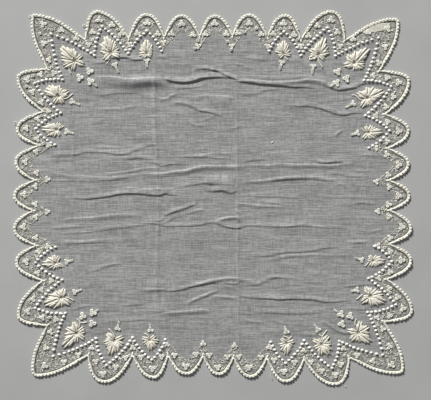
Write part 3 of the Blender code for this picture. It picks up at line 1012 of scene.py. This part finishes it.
# %% Prick the holes
HOLE_PITCH = 1.25
HOLE_INSET = 3.9
HOLE_HALF = (0.50, 0.38, 0.09)
HOLE_LIFT = 0.08
SPECK_SIZE = 1.9
SPECKS = (
    (-70, 171.5), (-83.5, 164), (-56.5, 162.5), (59, 164), (61.5, 161.5), (85.5, 170), (89, 166.5),
    (179.5, 67), (182, -46.5), (180, -52), (186, -99), (98, -169), (131, -169.5), (63.5, -161),
    (90.5, -164), (-54, -157), (-55, -154.5), (-80.5, -164), (-88, -165.5), (-172.5, -119),
    (-168.5, -120), (-172, -125.5), (-176, -55), (-179, -53), (-180, -56), (-169.5, -79),
    (-174, 90), (-176, 85.5), (-180, 86), (-178, 57), (-177, 93), (-173, 128), (-169.5, 126.5),
    (-105.5, 169.5), (-98, 169.5), (-120, 166.5), (-126.5, 165.5), (-181.5, 172.5), (-169.5, 137),
    (-175, 132), (-196, 117), (-121.5, 177.5), (-99, 176.5), (-189, 128), (-169, 176.5), (45.5, 178),
    (33, 174), (81.5, 178), (-16, 164.5), (15, 164), (70.5, 177.5), (-19, 157), (19, 155.5),
)

holes = [(x, y, dice.uniform(0, 180), SPECK_SIZE, SPECK_SIZE) for x, y in SPECKS]
for lobe in lobes:
    line = spaced(lobe, HOLE_PITCH)
    normal = inward(line)
    for place, aside in zip(line + normal * HOLE_INSET, normal):
        size = dice.uniform(0.7, 1.2)
        holes.append((*place, heading_of(left_of(aside)), size, size))
# each pinhole and speck is a flat grain of painted shade, for the dark inside the hole
painted_shade_grain = bead(*HOLE_HALF, HOLE_LIFT, turns=8, rings=4)
add_stitches("pinhole_grains_painted_shade", painted_shade_grain, holes, painted_pinhole_shade)

# %% [markdown]
# ## Satin dots
# Each dot is a padded oval of satin stitch. On the corner, wide and leafy scallops the
# dots follow both arms of the V, a little over four millimetres apart. On a corner
# they stand wider at the point of the V and crowd together inwards. They are the
# whitest thing on the cloth, since the smooth parallel threads catch the light.

# %% The finish of the satin dots
dot_thread = Finish("dot_thread", 0.5, sheen=0.1)
dot_thread.colour(dot_thread.mottled(3, (0.82, 0.80, 0.73), (0.92, 0.91, 0.87)))
dot_thread.bump(dot_thread.ribs("X", 0.7), 0.0001, 0.5)

# %% Set the dots along the border
DOT_PITCH = 4.5
CORNER_PITCH = 4.9
CORNER_CROWDING = 0.85
DOT_HALF = (1.85, 1.45, 1.4)
DOT_LIFT = 0.3
DOT_SHAKE = 0.25
DOT_TURN = 25


def along_row(line, pitch, crowding):
    """Places along a row from the point of the V, which crowd together inwards."""
    length = how_far(line)[-1]
    return points_at(line, length * np.linspace(0, 1, round(length / pitch) + 1) ** crowding)


dots = []
for index, (kind, left, right) in enumerate(inner_rows):
    if kind == "plain":
        continue
    before_kind = inner_rows[index - 1][0]
    spacing = (CORNER_PITCH, CORNER_CROWDING) if kind == "corner" else (DOT_PITCH, 1.0)
    left_row = along_row(left, *spacing)
    right_row = along_row(right, *spacing)
    left_end = len(left_row) if before_kind == "plain" else -1
    for place in (*left_row[:left_end], *right_row[1:]):
        size = dice.uniform(0.9, 1.1)
        place = place + dice.uniform(-DOT_SHAKE, DOT_SHAKE, 2)
        heading = dice.uniform(-DOT_TURN, DOT_TURN)
        dots.append((*place, heading, size, size * dice.uniform(0.92, 1.05)))
dot_bead = bead(*DOT_HALF, DOT_LIFT)
add_stitches("satin_dots", dot_bead, dots, dot_thread)

# %% [markdown]
# ## Vine leaves
# A vine leaf is worked lobe by lobe. Soft tan padding thread is laid first, and rows
# of satin stitch are worked over it: a pair along the vein of each lobe, and on a long
# lobe a second pair that ends as its teeth. The padding shows between the rows as
# thin dark veins. Its tan is darker than the satin's, and that is partly painted shade of
# the grooves between the rows. Every row is a long pointed bead here, and the lobes of each leaf
# are listed one by one, since no two leaves on the cloth are the same.

# %% The leaves, in millimetres
# x, y of the middle, then each lobe's direction in degrees and its length
LEAVES = (
    (-145, 143.5, 134, 22, 101, 14, 42, 10, -20, 11, -104, 10.5, 206, 13.5, 169, 15.5),
    (-107, 152.5, 109, 19, 137, 15, 168, 11.5, 226, 11.5, 76, 13.5, 36, 10, -6, 9.5, -27, 10.5),
    (-69.5, 151.5, 91, 15.5, 116, 11.5, 142, 9.5, 186, 9, 66, 11.5, 44, 8, 2, 6.5, -33, 6,
     229, 6.5),
    (74, 151.5, 90, 14.5, 117, 12, 157, 10, 184, 7, 223, 6.5, 68, 10.5, 39, 8, -11, 8),
    (111, 150.5, 72, 19, 46, 13.5, 14, 11, -44, 8.5, 204, 11.5, 184, 9.5, 151, 11, 127, 9.5,
     97, 13),
    (148.5, 141.5, 48, 21.5, 83, 13.5, 108, 10, 136, 12, 192, 12.5, 212, 9.5, -88, 8, -58, 9,
     -28, 12, 4, 11.5),
    (162, 104.5, 26, 19.5, 57, 14, 89, 12, 112, 9.5, 147, 12.5, 235, 12, 260, 8.5, -63, 9.5,
     -33, 8.5, 7, 12),
    (163, 68.5, 6, 15, 31, 10.5, 66, 8.5, 115, 8, 230, 9, 260, 7, -66, 8, -34, 10),
    (168, -66, -2, 12.5, 24, 10, 54, 7, 125, 7.5, 164, 6, 243, 7, -63, 7.5, -28, 8),
    (165, -103, -22, 17.5, 15, 14, 47, 10, 93, 9.5, 118, 12, 190, 8.5, 216, 12, -79, 11.5,
     -45, 14),
    (152, -141.5, -37, 18, -8, 13, 32, 13, 78, 12.5, 167, 11.5, 196, 8.5, 225, 11.5, 250, 9.5,
     -74, 11.5),
    (114, -153.5, -56, 15, -35, 12.5, 7, 10, 52, 11.5, 126, 7.5, 152, 10.5, 206, 9.5, 228, 8.5,
     262, 12.5),
    (77.5, -152.5, 267, 12.5, 236, 10.5, 194, 9, 141, 8.5, 18, 8.5, -33, 7, -71, 9),
    (-66.5, -149, -86, 12, -53, 10.5, -11, 10, 39, 7.5, 164, 8.5, 214, 8, 250, 8),
    (-103.5, -149.5, 253, 16.5, 236, 12.5, -77, 13.5, -52, 11, -27, 10.5, 25, 10.5, 138, 11.5,
     174, 9, 193, 12, 218, 12),
    (-143, -142, 224, 21, 246, 10.5, 190, 13.5, 152, 13, 105, 13, 39, 10, 15, 9.5, -20, 8,
     -36, 10.5, 268, 10.5),
    (-159, -105, 200, 20.5, 169, 14, 136, 10, 100, 9.5, 74, 11, -37, 11.5, -79, 8, 265, 10,
     228, 14),
    (-165, -68.5, 180, 14.5, 149, 11, 106, 9.5, 65, 8.5, 209, 10, 240, 8, -67, 6.5, -24, 7.5),
    (-164, 71.5, 174, 16, 153, 12, 124, 8.5, 75, 8, 48, 7.5, -62, 8, -88, 6.5, 241, 8.5,
     205, 12.5),
    (-162, 106.5, 153, 17, 138, 16, 124, 14.5, 91, 12, 60, 9.5, 31, 12.5, 14, 9.5, -32, 8,
     -58, 9.5, -84, 8, 236, 9, 209, 8),
)

# %% The finishes of the leaves
leaf_thread = Finish("leaf_thread", 0.55, sheen=0.1)
fresh = leaf_thread.mottled(2.4, (0.62, 0.59, 0.49), (0.84, 0.81, 0.72), 0.3, 0.7)
leaf_thread.colour(leaf_thread.aged(fresh, 14, 0.35, (0.68, 0.63, 0.51)))
leaf_thread.fibres(0.6, 0.5)

# a darker tan than the satin: partly painted shade, for the grooves between the satin rows
padding_and_groove_shade = Finish("padding_and_groove_shade", 0.8)
padding_and_groove_shade.colour(padding_and_groove_shade.mottled(1.6, (0.32, 0.28, 0.21), (0.52, 0.48, 0.38)))
padding_and_groove_shade.fibres(0.6, 0.5)

# %% Lay the padding and the satin rows
# a row's start and end as shares of the lobe, each as along and aside
SATIN_ROWS = (
    (0.06, 0.00, 1.02, 0.00),
    (0.26, 0.03, 0.76, 0.11),
)
SECOND_PAIR_FROM = 10.6
VEIN_GAP = 0.16
ROW_HALF = 0.48
ROW_HALF_GROWTH = 0.052
ROW_RISE = 1.15
ROW_LIFT = 0.25
PADDING_MIDDLE = 0.46
PADDING_RISE = 0.13
PADDING_HALF = 1.3
PADDING_GROWTH = 0.1


def pointing(angle):
    """The unit vector at an angle in degrees."""
    turn = math.radians(angle)
    return np.array((math.cos(turn), math.sin(turn)))


padding = []
satin_rows = []
for x, y, *lobe_numbers in LEAVES:
    middle = np.array((x, y))
    for angle, length in zip(lobe_numbers[::2], lobe_numbers[1::2]):
        ahead = pointing(angle)
        aside = left_of(ahead)
        padding.append((*(middle + ahead * length * PADDING_MIDDLE), angle, length * 0.5,
                        PADDING_HALF + PADDING_GROWTH * length))
        half = ROW_HALF + ROW_HALF_GROWTH * length
        pairs = SATIN_ROWS if length > SECOND_PAIR_FROM else SATIN_ROWS[:1]
        for start_along, start_aside, end_along, end_aside in pairs:
            for hand in (-1, 1):
                start = ahead * start_along + aside * hand * start_aside
                end = ahead * end_along * dice.uniform(0.94, 1.04) + aside * hand * end_aside
                run = (end - start) * length
                place = middle + start * length + run / 2 + aside * hand * (VEIN_GAP + half)
                satin_rows.append((*place, heading_of(run), np.hypot(*run) / 2,
                                   half * dice.uniform(0.9, 1.1)))
add_stitches("leaf_padding", bead(1.0, 1.0, PADDING_RISE, turns=14, rings=4), padding, padding_and_groove_shade)
add_stitches("vine_leaves", bead(1.0, 1.0, ROW_RISE, ROW_LIFT, rings=5), satin_rows, leaf_thread)

# %% [markdown]
# Each leaf hangs on a thin stalk, one row of stem stitch. It is swept along a few
# points, like the cord.

# %% Stitch the stalks
STALKS = (
    (-150.5, 137, -151, 134.5, -149, 130),
    (-108.5, 145.5, -109.5, 143.5, -112, 140.5),
    (75, 148, 76.5, 146.5, 78.5, 145),
    (110, 148, 111, 143.5, 115, 136),
    (158, 103, 154.5, 103, 149.5, 107.5, 145.5, 108),
    (159, 69.5, 157, 71.5, 155.5, 73.5),
    (163.5, -67, 161.5, -69.5, 159.5, -71.5),
    (157, -101, 154, -103.5, 150.5, -106.5),
    (150.5, -126.5, 149, -130, 149, -134),
    (113.5, -149.5, 115, -144.5, 119.5, -138.5),
    (115, -145, 113, -144.5, 111.5, -143),
    (78.5, -149, 80, -147.5, 82.5, -145),
    (79.5, -147.5, 76.5, -145.5, 73.5, -145),
    (-67.5, -147, -68.5, -144, -72, -142),
    (-103.5, -146, -104.5, -142.5, -109.5, -137),
    (-141.5, -137.5, -139.5, -130.5, -143, -126.5),
    (-139.5, -130.5, -136, -131, -132.5, -130),
    (-155, -104, -151, -105, -145.5, -108),
    (-151, -100, -151, -102, -150.5, -105),
    (-162, -68.5, -159.5, -70, -156.5, -72.5),
    (-162, 71.5, -159.5, 73.5, -156.5, 75.5),
    (-159, 104.5, -156, 104, -152, 105.5, -147, 109.5),
)
STALK_HALF = (0.62, 0.5)
STALK_LIFT = 0.3


def joined(parts):
    """Several meshes as one."""
    points = []
    faces = []
    for part_points, part_faces in parts:
        start = sum(len(p) for p in points)
        points.append(part_points)
        faces += [tuple(corner + start for corner in face) for face in part_faces]
    return np.vstack(points), faces


def laid_thread(line, half_width, half_height, lift):
    """A thread that lies along a line on the cloth."""
    return tube(on_cloth(line, lift), half_width, half_height, sides=6)


stalks = [laid_thread(smooth_line(stalk), *STALK_HALF, STALK_LIFT) for stalk in STALKS]
add_piece("leaf_stalks", *joined(stalks), leaf_thread)

# %% [markdown]
# ## Trefoils
# In the border every scallop has a trefoil near its tip, some on its shoulders and one
# at each notch. A trefoil is three small loops of thread drawn tight round a middle.
# One template serves for all, turned outwards, or inwards at a notch.

# %% One trefoil
PETAL_LENGTH = 3.05
PETAL_WIDTH = 2.5
PETAL_POINTS = 12
PETAL_THREAD = 0.87
PETAL_RISE = 0.5
PETAL_TURNS = (0, 113, 247)


def petal(length, width, heading):
    """A closed loop that starts from a point and is roundest at its far end."""
    turn = np.arange(PETAL_POINTS) * 2 * math.pi / PETAL_POINTS
    x = length * (1 - np.cos(turn)) / 2
    y = width / 2 * np.sin(turn) * np.sin(turn / 2)
    ahead_x, ahead_y = pointing(heading)
    return np.column_stack((x * ahead_x - y * ahead_y, x * ahead_y + y * ahead_x,
                            np.full(PETAL_POINTS, PETAL_RISE)))


trefoil = joined(
    tube(petal(PETAL_LENGTH, PETAL_WIDTH, turn), PETAL_THREAD, PETAL_RISE, sides=6, closed=True)
    for turn in PETAL_TURNS)
print("a trefoil has", len(trefoil[1]), "faces")

# %% The finish of the outline thread
fine_thread = Finish("fine_thread", 0.7, sheen=0.1)
fine_thread.colour(fine_thread.mottled(2, (0.58, 0.56, 0.47), (0.88, 0.87, 0.78), 0.38, 0.62))
fine_thread.fibres(0.5, 0.6)

# %% The trefoils of each scallop, clockwise from the top left corner
# x, y of the one at the tip, then the ones on the shoulders, and the notch's own last
TREFOILS = (
    (-178, 182, -177.5, 162, -172, 145, -159, 176, -143.5, 167.5, -130.5, 161),
    (-119.5, 186.5, -126.5, 174, -106, 181.5, -96, 172.5, -88, 161.5),
    (-69, 183.5, -79.5, 172.5, -58, 172, -52, 163),
    (-33, 182.5, -44, 172, -21, 171, -15.5, 159.5),
    (1.5, 183, -8, 172, 14, 172, 19.5, 159.5),
    (38, 183, 26, 173, 50.5, 171.5, 57, 159.5),
    (74, 183, 63, 172, 85, 171.5, 92.5, 159.5),
    (123.5, 186.5, 100, 170, 109.5, 180.5, 130.5, 173.5, 133.5, 159.5),
    (183, 177.5, 162.5, 173.5, 147, 166.5, 180.5, 158.5, 174, 141.5, 168, 128.5),
    (194.5, 121, 182.5, 126, 189, 106, 181.5, 95.5, 171, 86.5),
    (194.5, 70, 183, 79.5, 182.5, 59, 171, 52.5),
    (194.5, 34.5, 182, 45.5, 183.5, 24, 171.5, 17),
    (194.5, 2, 184.5, 11.5, 184, -7, 173, -14),
    (198, -30.5, 184.5, -19.5, 185.5, -42, 173, -50),
    (197.5, -65.5, 185.5, -56, 185.5, -78, 174, -84),
    (199, -116, 184.5, -95, 193.5, -104, 185, -123.5, 172.5, -125.5),
    (187.5, -175, 185, -156, 178, -137.5, 167.5, -171, 151, -165, 137, -158.5),
    (128.5, -185.5, 134, -174.5, 114, -181.5, 102.5, -172, 95, -160.5),
    (74.5, -182, 85.5, -172.5, 64, -170, 59, -157),
    (38, -177.5, 50, -167, 27, -166.5, 22.5, -155),
    (5, -177.5, 15, -166.5, -4, -165, -10.5, -153),
    (-28.5, -176.5, -18, -164, -40.5, -165, -48.5, -154),
    (-63.5, -179, -54, -166.5, -76, -167, -84.5, -157.5),
    (-115.5, -184.5, -92, -167.5, -102, -177.5, -123, -171.5, -127.5, -157.5),
    (-176.5, -176, -156.5, -172, -141.5, -164.5, -175.5, -157, -170.5, -140.5, -165, -127.5),
    (-194.5, -119, -179, -125.5, -189, -106, -180, -96.5, -170, -87),
    (-196, -67, -184, -79, -183.5, -56, -173.5, -51),
    (-199, -30.5, -186, -42, -186, -20, -174, -14.5),
    (-198.5, 3.5, -186.5, -6.5, -186.5, 12, -174, 19.5),
    (-197, 38, -185, 26, -185.5, 48.5, -172.5, 55.5),
    (-196, 73, -184.5, 62, -184, 83, -173, 91),
    (-195, 124.5, -180, 100, -189.5, 111, -181, 129.5, -167, 131),
)

# %% Set the trefoils
HALF_SPAN = np.array((210.0, 197.0))
NEAR_CORNER = 0.08
TIP_SIZE = 1.05
SHOULDER_SIZE = 0.95
NOTCH_SIZE = 0.9
TREFOIL_TURN = 8


def outward_at(place):
    """The way from a place out over the nearest edge, or out over a corner."""
    share = np.abs(place) / HALF_SPAN
    return np.sign(place) * (share > share.max() - NEAR_CORNER)


trefoils = []
for row in TREFOILS:
    spots = np.array(row).reshape(-1, 2)
    sizes = [TIP_SIZE] + [SHOULDER_SIZE] * (len(spots) - 2) + [NOTCH_SIZE]
    for index, (spot, size) in enumerate(zip(spots, sizes)):
        inwards = index == len(spots) - 1
        heading = heading_of(outward_at(spot)) + 180 * inwards + dice.uniform(-TREFOIL_TURN, TREFOIL_TURN)
        trefoils.append((*spot, heading, size * dice.uniform(0.93, 1.07), size))
add_stitches("trefoils", trefoil, trefoils, fine_thread)

# %% [markdown]
# ## Buds and inner sprigs
# Below every leaf, towards the middle of the cloth, hangs a bud: three petals, worked
# like a small trefoil, and a tail of tiny rings with a pinhole in each. Each corner
# also has a group of three larger trefoils, with its own tail of rings. The same ring
# binds every pinhole about the border. The dark dot in each ring is a grain of painted
# shade, for the shade inside the hole.

# %% The buds: x, y, heading of the tail in degrees, its length
BUDS = (
    (-103.0, 139.5, -66, 8.0),
    (-69.5, 144.0, -90, 6.3),
    (72.0, 142.0, -103, 6.8),
    (105.0, 138.0, -97, 7.6),
    (147.0, 99.0, -153, 8.1),
    (151.5, 68.0, -165, 6.5),
    (156.0, -65.0, 161, 6.4),
    (151.0, -96.5, -167, 5.7),
    (110.0, -138.5, 123, 6.7),
    (77.0, -140.5, 107, 5.5),
    (-65.5, -138.5, 95, 5.5),
    (-100.0, -137.0, 81, 6.7),
    (-145.0, -98.5, 19, 7.2),
    (-153.5, -67.0, 15, 6.0),
    (-153.5, 69.5, -15, 6.9),
    (-148.0, 101.0, -21, 7.9),
)
# the trefoils of the four corner groups, x and y, with the end of the tail last
CORNER_GROUPS = (
    ((-129.5, 133.0), (-140.0, 126.0), (-128.5, 122.0), (-122.5, 117.5)),
    ((130.5, 132.5), (140.0, 125.0), (129.5, 120.5), (123.5, 117.5)),
    ((134.0, -122.0), (144.0, -124.0), (135.0, -132.5), (127.5, -117.5)),
    ((-137.0, -124.0), (-126.0, -120.5), (-126.5, -132.0), (-121.0, -117.5)),
)

# %% Work the buds and the sprigs
BUD_SIZE = 0.92
SPRIG_SIZE = 1.15
TAIL_SHARES = (0.5, 0.74, 0.98)
RING_HALF = 0.85
RING_THREAD = (0.4, 0.45)
RING_RISE = 0.5
EYELET_SIZE = 1.3
EYELET_GAP = 3.3


def oval_ring(half_across, half_along, x, y, rise, points=12):
    turn = np.arange(points) * 2 * math.pi / points
    return np.column_stack((x + half_along * np.cos(turn), y + half_across * np.sin(turn),
                            np.full(points, rise)))


def clear_of(places, stitches, gap):
    """Which of the places have none of the stitches nearer than a gap."""
    away = np.array(places)[:, None, :2] - np.array(stitches)[None, :, :2]
    return np.hypot(away[..., 0], away[..., 1]).min(axis=1) > gap


buds = []
tails = []
for x, y, heading, length in BUDS:
    buds.append((x, y, heading, BUD_SIZE, BUD_SIZE))
    tails.append((np.array((x, y)), length * pointing(heading)))
sprigs = []
for group in CORNER_GROUPS:
    heart = np.mean(group[:3], axis=0)
    for place in group[:3]:
        heading = heading_of(np.array(place) - heart) + 180
        sprigs.append((*place, heading, SPRIG_SIZE, SPRIG_SIZE))
    tail_end = np.array(group[3])
    tail_start = min(group[:3], key=lambda place: np.hypot(*(place - tail_end)))
    tails.append((np.array(tail_start), tail_end - tail_start))
rings = [(*(start + run * share), 0, 1, 1) for start, run in tails for share in TAIL_SHARES]
free_specks = np.array(SPECKS)[clear_of(SPECKS, dots, EYELET_GAP)]
eyelets = [(x, y, 0, EYELET_SIZE, EYELET_SIZE) for x, y in free_specks]
ring_line = oval_ring(RING_HALF, RING_HALF, 0, 0, RING_RISE, points=8)
tail_ring = tube(ring_line, *RING_THREAD, sides=6, closed=True)
add_stitches("buds", trefoil, buds, fine_thread)
add_stitches("corner_sprigs", trefoil, sprigs, fine_thread)
add_stitches("tail_rings", tail_ring, rings, fine_thread)
# a grain of painted shade in each tail ring, for the dark inside its pinhole
add_stitches("ring_eye_painted_shade", painted_shade_grain, rings, painted_pinhole_shade)
add_stitches("eyelet_rings", tail_ring, eyelets, fine_thread)

# %% [markdown]
# ## Border lines
# A fine cord of running stitches follows the V of each plain scallop, where the open
# border meets the plain ground, and the outer side of every dotted V. It is a faint
# line at the point of the V, and grows thicker and whiter towards the notch.

# %% Lay the border lines
LINE_HALF = 0.22
LINE_GROWTH = 0.22
LINE_STEP = 0.8
LINE_LIFT = 0.1
LINE_SHAKE = 0.15
LINE_BESIDE_DOTS = 2.4

dim_thread = Finish("dim_thread", 0.8)
dim_thread.colour(dim_thread.mottled(4, (0.40, 0.39, 0.34), (0.68, 0.67, 0.60)))

line_parts = []
for kind, left, right in inner_rows:
    for row in (left, right):
        shift = 0.0 if kind == "plain" else LINE_BESIDE_DOTS
        line = spaced(row, LINE_STEP)
        normal = inward(line)
        if normal[len(line) // 2] @ line[len(line) // 2] > 0:
            normal = -normal
        line = line - normal * shift + dice.uniform(-LINE_SHAKE, LINE_SHAKE, line.shape)
        half = LINE_HALF + LINE_GROWTH * np.linspace(0, 1, len(line)) ** 3 * (kind == "plain")
        line_parts.append(laid_thread(line, half, half, LINE_LIFT))
add_piece("border_lines", *joined(line_parts), dim_thread)

# %% [markdown]
# ## The openwork of the border
# Between the edge and the V the ground threads are drawn apart with tiny curled
# stitches, which lie at every angle. Real ones number many thousands, so a scatter of
# small open rings stands for them, and the mottled finish of the muslin under them does
# the rest. They are shaken off a regular grid, since a plain random scatter would leave
# bare patches. None lies against a dot or a trefoil, so that those stay easy to read.

# %% Scatter the curled stitches
CURL_STEP = 3.7
CURL_SHAKE = 1.7
CURL_EDGE_GAP = 5.4
CURL_GAP = 3.4
CURL_RADIUS = 1.25
CURL_TURN = 105
CURL_HALF = 0.36
CURL_RISE = 0.15
CURL_POINTS = 6

grid_columns, grid_rows = (np.arange(-reach, reach, CURL_STEP) for reach in HALF_SPAN)
curl_x, curl_y = np.meshgrid(grid_columns, grid_rows)
curl_x = curl_x + dice.uniform(-CURL_SHAKE, CURL_SHAKE, curl_x.shape)
curl_y = curl_y + dice.uniform(-CURL_SHAKE, CURL_SHAKE, curl_y.shape)
in_band = inside(curl_x, curl_y, ring_inside(CURL_EDGE_GAP)) & ~inside(curl_x, curl_y, field_ring)
curl_places = np.column_stack((curl_x[in_band], curl_y[in_band]))
curl_places = curl_places[clear_of(curl_places, dots + trefoils, CURL_GAP)]
curls = [(x, y, dice.uniform(0, 360), *[dice.uniform(0.7, 1.2)] * 2) for x, y in curl_places]
curl_line = np.array([(*(CURL_RADIUS * pointing(angle)), CURL_RISE)
                      for angle in np.linspace(-CURL_TURN, CURL_TURN, CURL_POINTS)])
add_stitches("openwork_curls", tube(curl_line, CURL_HALF, CURL_HALF, sides=4), curls, fine_thread)

# %% [markdown]
# ## Marks of use
# The top right corner was darned: long cream threads lie side by side between the
# cord and the trefoils. Three loops of the edge have come loose, two thread ends hang
# out at the bottom, and one knot of yarn stands out of the plain ground.

# %% Darn the corner
DARN_OUTER = (157.5, 178.5, 164.5, 180.2, 172, 181.8, 179, 183, 186, 182.5)
DARN_INNER = (157.5, 173.5, 164.5, 174.5, 171, 175, 177.5, 176, 186, 176.5)
DARN_ROWS = 9
DARN_HALF = (0.5, 0.35)
DARN_LIFT = 0.25
DARN_SHAKE = 0.12

outer = smooth_line(DARN_OUTER)
inner = smooth_line(DARN_INNER)
darning = []
for share in np.linspace(0, 1, DARN_ROWS):
    line = outer * (1 - share) + inner * share + dice.uniform(-DARN_SHAKE, DARN_SHAKE, outer.shape)
    darning.append(laid_thread(line, *DARN_HALF, DARN_LIFT))
add_piece("corner_darning", *joined(darning), leaf_thread)

# %% Let the loose ends hang out
LOOSE_ENDS = (
    (60, -184.5, 60.5, -187, 61.8, -190.7),
    (134.5, -194.5, 137, -196.5, 139.8, -198.8),
)
# x, y, half its length and half its width
LOOSE_LOOPS = ((-191.7, 190.5, 1.5, 1.1), (-207.5, 78.8, 1.2, 1.5), (-135.6, 181.0, 1.3, 1.2))
LOOSE_END_HALF = (0.3, 0.3)
LOOSE_LOOP_HALF = (0.32, 0.3)
LOOSE_LOOP_RISE = 0.8
KNOT_PLACE = (62, 58.5, 20, 0.6, 0.5)

loose = [laid_thread(smooth_line(end), *LOOSE_END_HALF, 0.0) for end in LOOSE_ENDS]
for x, y, half_long, half_wide in LOOSE_LOOPS:
    ring = oval_ring(half_wide, half_long, x, y, LOOSE_LOOP_RISE)
    loose.append(tube(ring, *LOOSE_LOOP_HALF, sides=6, closed=True))
add_piece("loose_threads", *joined(loose), edge_thread)
add_stitches("yarn_knot", dot_bead, [KNOT_PLACE], dot_thread)
